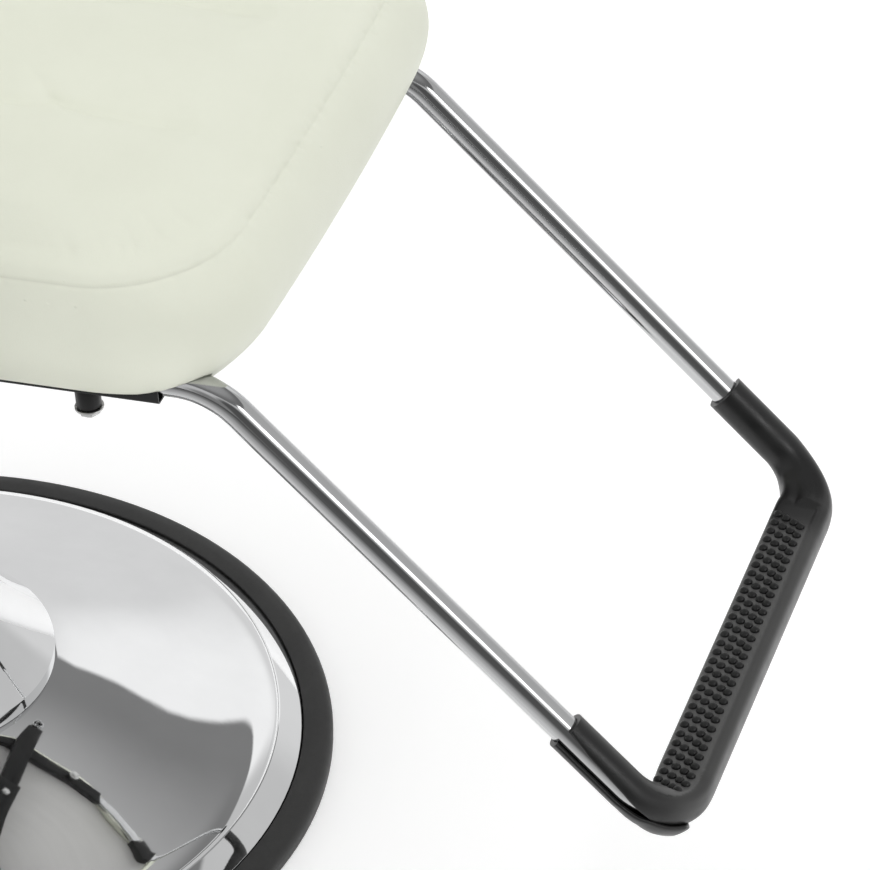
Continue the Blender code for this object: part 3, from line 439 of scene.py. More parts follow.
class Bench:
    """The modelling moves that the sub-assemblies share, made with Blender's operators."""

    @staticmethod
    def clear() -> None:
        """Leaves edit mode and deselects everything."""
        if bpy.context.mode != 'OBJECT':
            bpy.ops.object.mode_set(mode='OBJECT')
        bpy.ops.object.select_all(action='DESELECT')

    @staticmethod
    def pick(*pieces: Piece) -> Piece:
        """Selects pieces, and makes the first of them active."""
        Bench.clear()
        for piece in pieces:
            piece.select_set(True)
        bpy.context.view_layer.objects.active = pieces[0]
        return pieces[0]

    @staticmethod
    def named(name: str) -> Piece:
        """Names the piece that was just added."""
        piece = bpy.context.active_object
        piece.name = piece.data.name = name
        return piece

    @staticmethod
    def select(piece: Piece, kind: Element, wanted: Callable[[Part], bool]) -> None:
        """Selects parts of a piece that is in edit mode.

        Args:
            piece: the piece.
            kind: points, edges or faces.
            wanted: the test that they have to pass.
        """
        bpy.ops.mesh.select_mode(type=kind.name)
        bpy.ops.mesh.select_all(action='DESELECT')
        shape = bmesh.from_edit_mesh(piece.data)
        for element in getattr(shape, kind.value):
            element.select_set(wanted(element))
        bmesh.update_edit_mesh(piece.data)

    @staticmethod
    @contextmanager
    def editing(piece: Piece) -> Iterator[None]:
        """Edit mode on a piece, with all of it selected at first."""
        Bench.pick(piece)
        bpy.ops.object.mode_set(mode='EDIT')
        bpy.ops.mesh.select_all(action='SELECT')
        yield
        bpy.ops.object.mode_set(mode='OBJECT')

    @staticmethod
    def linked(name: str, data: bpy.types.Mesh | bpy.types.Camera) -> Piece:
        """A new object in the scene."""
        piece = bpy.data.objects.new(name, data)
        bpy.context.scene.collection.objects.link(piece)
        return piece

    @staticmethod
    def discard(piece: Piece) -> None:
        """Throws a pattern or a cutter away."""
        bpy.data.objects.remove(piece, do_unlink=True)

    @staticmethod
    def weld(piece: Piece) -> Piece:
        """Merges doubles and points the faces outwards."""
        with Bench.editing(piece):
            bpy.ops.mesh.remove_doubles(threshold=MERGE)
            bpy.ops.mesh.normals_make_consistent(inside=False)
        return piece

    @staticmethod
    def drawn_out(piece: Piece, way: Spot) -> Piece:
        """Extrudes what is selected of a piece in edit mode, and welds it."""
        bpy.ops.mesh.extrude_region_move(TRANSFORM_OT_translate={"value": way})
        return Bench.weld(piece)

    @staticmethod
    def settle(piece: Piece, place: Matrix | None = None) -> Piece:
        """Puts the piece's place into its mesh.

        Args:
            piece: the piece.
            place: where it goes.

        Returns:
            The piece, with its object at the origin.
        """
        Bench.pick(piece)
        if place is not None:
            piece.matrix_world = place @ piece.matrix_world
        bpy.ops.object.transform_apply(location=True, rotation=True, scale=True)
        return piece

    @staticmethod
    def smooth(piece: Piece, angle: float = SMOOTH_ANGLE) -> Piece:
        """Shades the piece smooth, except over edges sharper than an angle."""
        Bench.pick(piece)
        bpy.ops.object.shade_smooth_by_angle(angle=angle)
        return piece

    @staticmethod
    def apply(piece: Piece, kind: str, **settings: object) -> Piece:
        """Adds a modifier and applies it.

        Args:
            piece: the piece.
            kind: the modifier's type.
            settings: the modifier's values.

        Returns:
            The piece.
        """
        Bench.pick(piece)
        modifier = piece.modifiers.new(kind.lower(), kind)
        for name, value in settings.items():
            setattr(modifier, name, value)
        bpy.ops.object.modifier_apply(modifier=modifier.name)
        return piece

    @staticmethod
    def ease(piece: Piece, width: float, segments: int = 3) -> Piece:
        """Rounds the piece's sharp edges."""
        return Bench.apply(piece, 'BEVEL', width=width, segments=segments, limit_method='ANGLE',
                           angle_limit=EASE_ANGLE)

    @staticmethod
    def cut(piece: Piece, cutter: Piece) -> Piece:
        """Takes the cutter's space out of the piece and throws the cutter away."""
        Bench.apply(piece, 'BOOLEAN', operation='DIFFERENCE', object=cutter, solver='EXACT')
        Bench.discard(cutter)
        return piece

    @staticmethod
    def line(name: str, points: Sequence[Sequence[float]], closed: bool = False) -> Piece:
        """A chain of edges drawn point by point.

        Args:
            name: the piece's name.
            points: where the chain goes.
            closed: whether it runs back to its start.

        Returns:
            The piece, in edit mode with all of it selected.
        """
        Bench.clear()
        bpy.ops.mesh.primitive_plane_add(size=0.01)
        piece = Bench.named(name)
        bpy.ops.object.mode_set(mode='EDIT')
        bpy.ops.mesh.select_mode(type='VERT')
        bpy.ops.mesh.select_all(action='SELECT')
        bpy.ops.mesh.merge(type='CENTER')
        bpy.ops.transform.translate(value=tuple(points[0]))
        for before, after in zip(points, points[1:]):
            step = tuple(Vector(after) - Vector(before))
            bpy.ops.mesh.extrude_vertices_move(TRANSFORM_OT_translate={"value": step})
        if closed:
            Bench.select(piece, Element.VERT, lambda vertex: len(vertex.link_edges) == 1)
            bpy.ops.mesh.edge_face_add()
        bpy.ops.mesh.select_all(action='SELECT')
        return piece

    @staticmethod
    def spun(name: str, profile: Sequence[Sequence[float]], steps: int, place: Matrix | None = None,
             closed: bool = True) -> Piece:
        """A shape turned about Z.

        Args:
            name: the piece's name.
            profile: (radius, height) points of its section.
            steps: facets round it.
            place: where its axis goes.
            closed: whether the section is a ring of its own, off the axis.

        Returns:
            The finished piece, shaded smooth.
        """
        piece = Bench.line(name, [(point[0], 0, point[1]) for point in profile], closed)
        bpy.ops.mesh.spin(steps=steps, angle=2 * math.pi, center=(0, 0, 0), axis=(0, 0, 1))
        return Bench.smooth(Bench.settle(Bench.weld(piece), place))

    @staticmethod
    def swept(name: str, points: Sequence[Vector], radius: float, wall: float = 0.0,
              place: Matrix | None = None, roundness: int = 18) -> Piece:
        """A tube along a path.

        Args:
            name: the piece's name.
            points: the path.
            radius: the tube's outer radius.
            wall: its wall, or 0 for a solid bar with closed ends.
            place: the frame that the path is drawn in.
            roundness: the curve's bevel resolution.

        Returns:
            The finished piece, shaded smooth.
        """
        Bench.clear()
        bpy.ops.curve.primitive_nurbs_path_add()
        piece = Bench.named(name)
        curve = piece.data
        curve.splines.clear()
        spline = curve.splines.new('POLY')
        spline.points.add(len(points) - 1)
        for target, point in zip(spline.points, points):
            target.co = (*point, 1)
        curve.bevel_depth = radius
        curve.bevel_resolution = roundness
        curve.use_fill_caps = not wall
        bpy.ops.object.convert(target='MESH')
        Bench.weld(piece)
        if wall:
            Bench.apply(piece, 'SOLIDIFY', thickness=wall, offset=-1)
        return Bench.smooth(Bench.settle(piece, place))

    @staticmethod
    def block(name: str, low: Sequence[float], high: Sequence[float], ease: float = 0.0,
              place: Matrix | None = None, segments: int = 3) -> Piece:
        """A block between two corners with its edges rounded.

        Args:
            name: the piece's name.
            low: its lowest corner.
            high: its highest corner.
            ease: radius of its edges.
            place: the frame that the corners are in.
            segments: facets in each edge.

        Returns:
            The finished piece.
        """
        Bench.clear()
        middle = [(a + b) / 2 for a, b in zip(low, high)]
        size = [b - a for a, b in zip(low, high)]
        bpy.ops.mesh.primitive_cube_add(size=1, location=middle, scale=size)
        piece = Bench.settle(Bench.named(name))
        if ease:
            with Bench.editing(piece):
                bpy.ops.mesh.bevel(offset=ease, segments=segments, affect='EDGES')
        return Bench.smooth(Bench.settle(piece, place))

    @staticmethod
    def plate(name: str, outline: Sequence[Vector], low: float, high: float,
              place: Matrix | None = None) -> Piece:
        """A flat outline in XY with its thickness along Z.

        Args:
            name: the piece's name.
            outline: its corners.
            low: height of its underside.
            high: height of its top.
            place: the frame that it is drawn in.

        Returns:
            The piece.
        """
        piece = Bench.line(name, [(point[0], point[1], low) for point in outline], True)
        bpy.ops.mesh.edge_face_add()
        return Bench.settle(Bench.drawn_out(piece, (0, 0, high - low)), place)

    @staticmethod
    def eased_copy(name: str, node: Piece, width: float) -> Piece:
        """A CAD node's shape with its edges rounded.

        Args:
            name: the new piece's name.
            node: the CAD node.
            width: radius of the edges.

        Returns:
            The new piece.
        """
        piece = Bench.weld(Bench.linked(name, node.data.copy()))
        with Bench.editing(piece):
            bpy.ops.mesh.dissolve_limited(angle_limit=FLAT_ANGLE)
        return Bench.smooth(Bench.ease(piece, width))

    @staticmethod
    def grid_cube(name: str, cuts: tuple[int, int, int]) -> Piece:
        """A cube from -1 to 1 with its edges cut along each axis.

        Args:
            name: the piece's name.
            cuts: how many cuts along X, Y and Z.

        Returns:
            The piece.
        """
        Bench.clear()
        bpy.ops.mesh.primitive_cube_add(size=2)
        piece = Bench.named(name)

        def along(edge: bmesh.types.BMEdge, way: Axis) -> bool:
            """Whether an edge runs along an axis."""
            run = edge.verts[1].co - edge.verts[0].co
            return abs(run[way.value]) > 0.9 * run.length

        with Bench.editing(piece):
            for axis, count in zip(Axis, cuts):
                Bench.select(piece, Element.EDGE, lambda edge: along(edge, axis))
                bpy.ops.mesh.subdivide(number_cuts=count)
        return piece

    @staticmethod
    def copied(name: str, source: Piece, place: Matrix) -> Piece:
        """A copy with a mesh of its own, put in place.

        Args:
            name: the copy's name.
            source: what is copied.
            place: where it goes.

        Returns:
            The copy.
        """
        return Bench.settle(Bench.linked(name, source.data.copy()), place)

    @staticmethod
    def joined(name: str, pieces: Sequence[Piece]) -> Piece:
        """Several meshes as one piece."""
        piece = Bench.pick(*pieces)
        bpy.ops.object.join()
        piece.name = piece.data.name = name
        return piece


def hand_over(piece: Piece, finish: Finish, body: Body, *nodes: str) -> Piece:
    """Dresses a piece and fits it to the frame.

    Args:
        piece: the finished shape.
        finish: what it is made of.
        body: the CAD body that it moves with.
        nodes: the CAD nodes that it stands for.

    Returns:
        The piece.
    """
    piece.data.materials.clear()
    piece.data.materials.append(finish.material())
    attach(piece, body.value)
    if nodes:
        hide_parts(*nodes)
    log.info("%s: %d faces on %s, %s", piece.name, len(piece.data.polygons), body.value, finish.name)
    return piece


@dataclass(frozen=True)
class Frames:
    """The tilted and turned frames that the chair is drawn in, and sizes that its sub-assemblies share."""

    seat_height: float = 0.504
    seat_tilt: float = math.radians(4)
    bend_at: float = -0.314
    drop: float = math.radians(47.1)
    arm: float = 0.413
    back_at: float = 0.190
    back_foot: float = -0.0351
    recline: float = math.radians(12)
    pedal_turn: float = math.radians(100)
    spacing: float = 0.378  # of the footrest's arms
    corner: float = 0.038  # radius of the bends beside its crossbar
    socket: float = 0.023  # edge of the square tubes that it is held in
    rail_front: float = -0.135
    rail_rear: float = 0.095

    def seat(self) -> Matrix:
        """The seat's plane through the footrest's sockets."""
        return Matrix.Translation((0, 0, self.seat_height)) @ Matrix.Rotation(-self.seat_tilt, 4, 'X')

    def footrest(self) -> Matrix:
        """The plane of the footrest's U, with -Y down its arms."""
        return self.seat() @ Matrix.Translation((0, self.bend_at, 0)) @ Matrix.Rotation(self.drop, 4, 'X')

    def bar(self) -> Matrix:
        """The middle of the footrest's crossbar, level."""
        return Matrix.Translation(self.footrest() @ Vector((0, -self.arm, 0)))

    def back(self) -> Matrix:
        """The back's face, with Y up and Z towards the sitter."""
        return (self.seat() @ Matrix.Translation((0, self.back_at, self.back_foot))
                @ Matrix.Rotation(-self.recline, 4, 'X') @ Matrix.Rotation(math.pi / 2, 4, 'X'))

    def pedal(self) -> Matrix:
        """The pump's frame, with -Y along the lever."""
        return Matrix.Rotation(-self.pedal_turn, 4, 'Z')


FRAMES = Frames()


@dataclass(frozen=True)
class Base:
    """The chromed dome with its rubber rim, the bell, the column and the ram."""

    rim_radius: float = 0.3045
    rim_height: float = 0.0130
    rim_width: float = 0.0215
    rim_flange: float = 0.014
    lip_tuck: float = 0.0035
    lip_height: float = 0.0065
    skirt_gap: float = 0.0015
    dome_radius: float = 0.2645
    dome_edge: float = 0.027
    dome_height: float = 0.078
    dome_slopes: tuple[Flat, ...] = (  # (radius, degrees) down from the bell to the edge
        (0.106, 11), (0.120, 14.5), (0.150, 16.5), (0.170, 18.5), (0.190, 19.6), (0.205, 19.2), (0.225, 17.5),
        (0.243, 15), (0.249, 16), (0.255, 23), (0.260, 31), (0.2645, 36))
    bead: float = 0.0009
    skirt_foot: float = 0.0118
    wall: float = 0.002
    bell_radius: float = 0.106
    bell_seat: float = 0.010
    bell_skirt: float = 0.010
    bell_top: float = 0.205
    bell_neck: float = 0.0505
    cylinder_radius: float = 0.042
    cylinder_bore: float = 0.0365
    cylinder_top: float = 0.285
    cylinder_foot: float = 0.0063
    flange_radius: float = 0.064
    flange_height: float = 0.010
    gland_radius: float = 0.046
    gland_height: float = 0.013
    gland_bore: float = 0.0323
    gland_groove: float = 0.0016
    gland_depth: float = 0.017
    gland_sill: Flat = (0.0274, 0.0025)  # the radius and height of the step under the bush
    wiper_lip: float = 0.002
    wiper_depth: float = 0.005
    ram_radius: float = 0.0225
    ram_shoulder: float = 0.430
    ram_bottom: float = 0.1723
    spigot_radius: float = 0.0175
    spigot_length: float = 0.028
    lever_slot: float = 0.012
    lever_slot_top: float = 0.128
    slot_corner: float = 0.0115
    flare_steps: int = 36
    around: int = 160

    def build(self) -> None:
        """Models and dresses the base."""
        self.rim()
        self.dome()
        self.bell()
        self.column()
        self.ram()

    def rim(self) -> Piece:
        """The rubber ring that grips the dome's lip."""
        inner = self.rim_radius - self.rim_width
        flange = inner - self.rim_flange
        under = self.lip_height - self.wall - CLEAR
        groove = inner + self.lip_tuck + CLEAR
        over = self.lip_height + CLEAR
        corners = [((inner, over), 0.0004), ((inner, self.rim_height - 0.0002), 0.0011),
                   ((inner + 0.011, self.rim_height), 0.03), ((self.rim_radius, self.rim_height - 0.0012), 0.0062),
                   ((self.rim_radius, 0), 0.0015), ((flange, 0), 0.0006), ((flange, under), 0.0006),
                   ((groove, under), 0), ((groove, over), 0)]
        piece = Bench.spun("rim_band", rounded(corners, True, 6), self.around)
        return hand_over(piece, Finishes.RIM, Body.BASE, "base_rim_ring")

    def dome_profile(self) -> list[Flat]:
        """The dome's outside, from the bell's seat over its edge and skirt to its lip."""
        radii = np.linspace(self.bell_radius, self.dome_radius, 90)
        fall = np.tan(np.radians(np.interp(radii, *zip(*self.dome_slopes))))
        drop = np.concatenate([[0.0], np.cumsum((fall[1:] + fall[:-1]) / 2 * np.diff(radii))])
        drop *= (self.dome_height - self.dome_edge) / drop[-1]
        points: list[Flat] = [(self.bell_radius - self.bell_seat, self.dome_height)]
        points += [(float(radius), self.dome_height - float(down)) for radius, down in zip(radii, drop)]
        foot = self.rim_radius - self.rim_width - self.skirt_gap / 2
        turn = rounded([(points[-1], 0), ((self.dome_radius + self.bead, self.dome_edge - 2 * self.bead), 0.0005),
                        ((self.dome_radius + 2 * self.bead, self.dome_edge - 2.2 * self.bead), 0.0005),
                        ((foot, self.skirt_foot), 0.0012), ((foot, self.lip_height), 0.0012),
                        ((foot + self.skirt_gap / 2 + self.lip_tuck, self.lip_height), 0)], steps=6)
        return points + [(point.x, point.y) for point in turn[1:]]

    def dome(self) -> Piece:
        """The chromed, spun dome."""
        outside = self.dome_profile()
        piece = Bench.spun("dome_shell", outside + wall_inside(outside, self.wall), self.around)
        return hand_over(piece, Finishes.DOME_CHROME, Body.BASE, "base_dome")

    def bell(self) -> Piece:
        """The trumpet cover over the pump, with its slot for the lever."""
        low = self.dome_height + CLEAR
        outside: list[Flat] = [(self.cylinder_radius + 0.0004, self.bell_top)]
        outside += [(point.x, point.y) for point in rounded(
            [((self.cylinder_radius + 0.001, self.bell_top), 0), ((self.bell_neck, self.bell_top), 0.0035),
             ((self.bell_neck, self.bell_top - 0.010), 0)], steps=6)]
        shoulder, foot = self.bell_top - 0.006, low + self.bell_skirt
        for share in (i / self.flare_steps for i in range(1, self.flare_steps + 1)):
            outside.append((self.bell_neck + (self.bell_radius - self.bell_neck) * share ** 2,
                            shoulder + (foot - shoulder) * share))
        outside = [point for i, point in enumerate(outside) if i == 0 or point[1] <= outside[i - 1][1] + MERGE]
        outside.append((self.bell_radius, low))
        piece = Bench.spun("bell_shell", outside + wall_inside(outside, self.wall), self.around)
        slot = self.lever_slot
        cutter = Bench.block("bell_slot", (-slot, -self.bell_radius - slot, low - slot),
                             (slot, -self.ram_radius, self.lever_slot_top), self.slot_corner, FRAMES.pedal(), 6)
        Bench.cut(piece, cutter)
        return hand_over(Bench.smooth(piece), Finishes.DOME_CHROME, Body.BASE, "bell_cover")

    def column(self) -> None:
        """The pump's cylinder, its gland and the wiper that cleans the ram."""
        self.turned("cylinder_barrel", 96, Finishes.TUBE_CHROME, "pump_cylinder", self.barrel_section())
        self.turned("gland_ring", 96, Finishes.LEVER_CHROME, "cylinder_gland", self.gland_section())
        self.turned("wiper_lip", 80, Finishes.RUBBER, "wiper_seal", self.wiper_section())

    @staticmethod
    def turned(name: str, steps: int, finish: Finish, node: str, corners: Sequence[Corner]) -> Piece:
        """A ring of the column.

        Args:
            name: the piece's name.
            steps: facets round it.
            finish: what it is made of.
            node: the CAD node that it stands for.
            corners: its section.

        Returns:
            The piece.
        """
        return hand_over(Bench.spun(name, rounded(corners, True, 4), steps), finish, Body.BASE, node)

    def barrel_section(self) -> list[Corner]:
        """The cylinder with its flange."""
        foot, top = self.cylinder_foot, self.cylinder_top
        over = foot + self.flange_height
        return [((self.cylinder_radius, top), 0.0008), ((self.cylinder_radius, over), 0.003),
                ((self.flange_radius, over), 0.001), ((self.flange_radius, foot), 0), ((self.cylinder_bore, foot), 0),
                ((self.cylinder_bore, top), 0.0005)]

    def gland_section(self) -> list[Corner]:
        """The gland, grooved round its outside, with its spigot in the cylinder."""
        seat = self.cylinder_top + CLEAR
        top, deep = seat + self.gland_height, self.cylinder_top - self.gland_depth
        spigot, waist = self.cylinder_bore - CLEAR, self.gland_radius - self.gland_groove
        sill, step = self.gland_sill
        return [((self.gland_bore, top), 0.0006), ((self.gland_radius, top), 0.0022),
                ((self.gland_radius, seat + 0.0068), 0.0006), ((waist, seat + 0.0058), 0.0005),
                ((waist, seat + 0.0042), 0.0005), ((self.gland_radius, seat + 0.0032), 0.0006),
                ((self.gland_radius, seat), 0.0008), ((spigot, seat), 0), ((spigot, deep), 0.0006),
                ((sill, deep), 0), ((sill, deep + step), 0), ((self.gland_bore, deep + step), 0)]

    def wiper_section(self) -> list[Corner]:
        """The wiper, with a lip that leans on the ram."""
        top = self.cylinder_top + CLEAR + self.gland_height
        inner, outer = self.ram_radius + 0.0004, self.gland_bore - CLEAR
        lip, low = top + self.wiper_lip, top - self.wiper_depth
        return [((inner, lip), 0.0003), ((inner + 0.0022, lip), 0.0008), ((inner + 0.004, top), 0.001),
                ((outer, top - 0.0004), 0.0004), ((outer, low), 0), ((inner, low), 0)]

    def ram(self) -> Piece:
        """The chromed rod that lifts the seat."""
        top = self.ram_shoulder + self.spigot_length
        section = rounded([
            ((0, top), 0), ((self.spigot_radius, top), 0.002), ((self.spigot_radius, self.ram_shoulder), 0.0008),
            ((self.ram_radius, self.ram_shoulder), 0.0012), ((self.ram_radius, self.ram_bottom), 0.001),
            ((0, self.ram_bottom), 0)], False, 4)
        piece = Bench.spun("ram_rod", section, 80, closed=False)
        return hand_over(piece, Finishes.LEVER_CHROME, Body.RAM, "lift_ram")


@dataclass(frozen=True)
class Pump:
    """The foot lever with its ribbed rubber sleeve, and the plunger's spring."""

    pivot: Spot = (0, -0.054, 0.116)
    plunger_arm: float = 0.027  # from the pivot to the plunger
    spring_radius: float = 0.0069
    spring_wire: float = 0.0009
    spring_turns: int = 6
    spring_steps: int = 28  # in each turn
    spring_keep: float = 0.865  # of the spring's length with the pedal down
    slope: float = math.radians(9)
    radius: float = 0.010
    straight: float = 0.250
    level: float = 0.085
    bend: float = 0.080
    heel: float = 0.0085
    eye: float = 0.0044
    eye_reach: float = 0.06
    lever_ease: float = 0.0012
    pad_radius: float = 0.016
    pad_length: float = 0.070
    ribs: int = 9
    rib_pitch: float = 0.0062
    rib_depth: float = 0.0016
    rib_start: float = 0.011

    def build(self) -> None:
        """Models and dresses the lever."""
        place = FRAMES.pedal() @ Matrix.Translation(self.pivot)
        run = Vector((0, -math.cos(self.slope), -math.sin(self.slope)))
        bend = run * self.straight
        end = bend + Vector((0, -self.level, 0))
        path = rounded([(-run * self.heel, 0), (bend, self.bend), (end, 0)], steps=16)
        lever = Bench.swept("lever_bar", path, self.radius, roundness=16)
        Bench.ease(lever, self.lever_ease)
        Bench.clear()
        bpy.ops.mesh.primitive_cylinder_add(vertices=32, radius=self.eye, depth=self.eye_reach)
        eye = Bench.settle(Bench.named("lever_eye"), Matrix.Rotation(math.pi / 2, 4, 'Y'))
        Bench.settle(Bench.smooth(Bench.cut(lever, eye)), place)
        hand_over(lever, Finishes.LEVER_CHROME, Body.PEDAL, "pedal_lever")
        self.sleeve(place @ Matrix.Translation(end) @ Matrix.Rotation(math.pi / 2, 4, 'X'))
        self.spring()

    def spring(self) -> Piece:
        """A coil spring with closed ends.

        Returns:
            The piece.
        """
        low, high = (Vector(corner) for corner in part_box("plunger_spring"))
        foot = FRAMES.pedal() @ Vector((0, self.pivot[1] - self.plunger_arm, low.z))
        length = high.z - low.z - 2 * self.spring_wire
        dead = 2.1 * self.spring_wire  # the rise of a closed end turn
        path = []
        for turn in (i / self.spring_steps for i in range(self.spring_turns * self.spring_steps + 1)):
            share = dead * min(turn, 1) + (length - 2 * dead) * min(max(turn - 1, 0) / (self.spring_turns - 2), 1)
            share += dead * max(turn - self.spring_turns + 1, 0)
            angle = 2 * math.pi * turn
            path.append(foot + Vector((self.spring_radius * math.cos(angle), self.spring_radius * math.sin(angle),
                                       self.spring_wire + share)))
        piece = Bench.swept("plunger_coil", path, self.spring_wire, roundness=3)
        hand_over(piece, Finishes.STEEL, Body.BASE, "plunger_spring")
        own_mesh(piece)
        return piece

    def sleeve(self, place: Matrix) -> Piece:
        """The ribbed sleeve on the lever's end.

        Args:
            place: the lever's end, with +Z straight out of it.

        Returns:
            The piece.
        """
        bore, cap = self.radius + CLEAR, self.pad_radius - self.radius
        groove = self.pad_radius - self.rib_depth
        corners: list[Corner] = [((0, cap), 0), ((0.007, cap), 0.004), ((self.pad_radius, cap - 0.0025), 0.005)]
        for i in range(self.ribs):
            top = cap - self.rib_start - i * self.rib_pitch
            corners += [((self.pad_radius, top), 0.0006), ((groove, top - 0.0010), 0.0006),
                        ((groove, top - 0.0022), 0.0006), ((self.pad_radius, top - 0.0032), 0.0006)]
        corners += [((self.pad_radius, -self.pad_length), 0.0014), ((bore, -self.pad_length), 0.0005),
                    ((bore, CLEAR), 0), ((0, CLEAR), 0)]
        piece = Bench.spun("pedal_sleeve", rounded(corners, False, 3), 64, place, False)
        return hand_over(piece, Finishes.RUBBER, Body.PEDAL, "pedal_pad")


@dataclass(frozen=True)
class Fasteners:
    """Domed hexagon heads, washers and the footrest's spacers."""

    shank: float = 0.004
    across: float = 0.0072
    height: float = 0.006
    hexagon: float = 0.0034
    crown: float = 0.0055
    crown_foot: float = 0.0030
    sunk: float = 0.0002  # how far the crown goes on below its foot
    foot_at: float = -0.229
    rail_height: float = 0.020
    plate: float = 0.006
    mount_across: float = 0.065
    back_across: float = 0.13
    back_up: Flat = (0.215, 0.325)
    back_face: float = -0.0033
    arm_across: float = 0.2703
    spacer_radius: float = 0.0082
    spacer_height: float = 0.0155
    washer_radius: float = 0.0095
    washer_height: float = 0.0018

    def pattern(self, name: str, length: float) -> Piece:
        """One bolt with the underside of its head at the origin and its shank along +Z.

        Args:
            name: the bolt's name.
            length: of its shank.

        Returns:
            The piece.
        """
        Bench.clear()
        bpy.ops.mesh.primitive_cylinder_add(vertices=6, radius=self.across, depth=self.hexagon,
                                            location=(0, 0, -self.hexagon / 2))
        hexagon = Bench.ease(Bench.settle(Bench.named(name)), 0.0005, 2)
        dome = [(0.0, -self.height)]
        for angle in (math.pi / 16 * i for i in range(1, 9)):
            dome.append((self.crown * math.sin(angle),
                         -self.crown_foot - (self.height - self.crown_foot) * math.cos(angle)))
        foot = self.sunk - self.crown_foot
        dome += [(self.crown, foot), (0.0, foot)]
        crown = Bench.spun(f"{name}_crown", dome, 24, closed=False)
        stem = rounded([((0, length), 0), ((self.shank, length), 0.0006), ((self.shank, -0.001), 0),
                        ((0, -0.001), 0)], False, 3)
        return Bench.smooth(Bench.joined(name, [hexagon, crown, Bench.spun(f"{name}_stem", stem, 20, closed=False)]))

    def build(self) -> None:
        """Models and dresses every bolt that shows."""
        seat = FRAMES.seat()
        rails = FRAMES.rail_front, FRAMES.rail_rear
        mount = -FRAMES.socket / 2 - self.rail_height - self.plate - 3 * CLEAR
        self.row("mount_bolt", 0.015, [seat @ Matrix.Translation((x, y, mount)) for y in rails
                                       for x in (-self.mount_across, self.mount_across)])
        self.row("back_bolt", 0.0156, [FRAMES.back() @ Matrix.Translation((x, y, self.back_face))
                                       for x in (-self.back_across, self.back_across) for y in self.back_up])
        rail = -FRAMES.socket / 2 - CLEAR - self.rail_height / 2
        self.row("arm_bolt", 0.042, [
            seat @ Matrix.Translation((side.value * self.arm_across, y, rail))
            @ Matrix.Rotation(-side.value * math.pi / 2, 4, 'Y') for side in Side for y in rails])
        self.clamps(seat)

    def row(self, node: str, length: float, places: Sequence[Matrix]) -> None:
        """Bolts of one kind, numbered as in the CAD.

        Args:
            node: the CAD nodes' name without the number.
            length: of the shanks.
            places: where they go.
        """
        first = self.pattern(f"{node}_pattern", length)
        for i, place in enumerate(places, 1):
            piece = Bench.copied(f"{node}_head_{i}", first, place)
            hand_over(piece, Finishes.ZINC, Body.SEAT, f"{node}_{i}")
        Bench.discard(first)

    def clamps(self, seat: Matrix) -> None:
        """The spacer, washer and bolt that clamp each end of the footrest.

        Args:
            seat: the seat's frame.
        """
        hole = self.shank + CLEAR
        under = -FRAMES.socket / 2 - CLEAR - self.spacer_height
        low = under - CLEAR - self.washer_height
        head = low - CLEAR
        spacer = rounded([((hole, under), 0), ((self.spacer_radius, under), 0.0008),
                          ((self.spacer_radius, -FRAMES.socket / 2 - CLEAR), 0.0008),
                          ((hole, -FRAMES.socket / 2 - CLEAR), 0)], True, 3)
        washer = rounded([((hole, low), 0.0003), ((self.washer_radius, low), 0.0005),
                          ((self.washer_radius, under - CLEAR), 0.0005), ((hole, under - CLEAR), 0.0003)], True, 3)
        bolt = self.pattern("clamp_pattern", FRAMES.socket / 2 - CLEAR - head)
        for side in Side:
            place = seat @ Matrix.Translation((side.value * FRAMES.spacing / 2, self.foot_at, 0))
            label = side.label
            hand_over(Bench.spun(f"clamp_spacer_{label}", spacer, 40, place), Finishes.PAINT, Body.SEAT,
                      f"footrest_spacer_{label}")
            hand_over(Bench.spun(f"clamp_washer_{label}", washer, 40, place), Finishes.ZINC, Body.SEAT,
                      f"footrest_washer_{label}")
            piece = Bench.copied(f"clamp_bolt_{label}", bolt, place @ Matrix.Translation((0, 0, head)))
            hand_over(piece, Finishes.ZINC, Body.SEAT, f"footrest_bolt_{label}")
        Bench.discard(bolt)


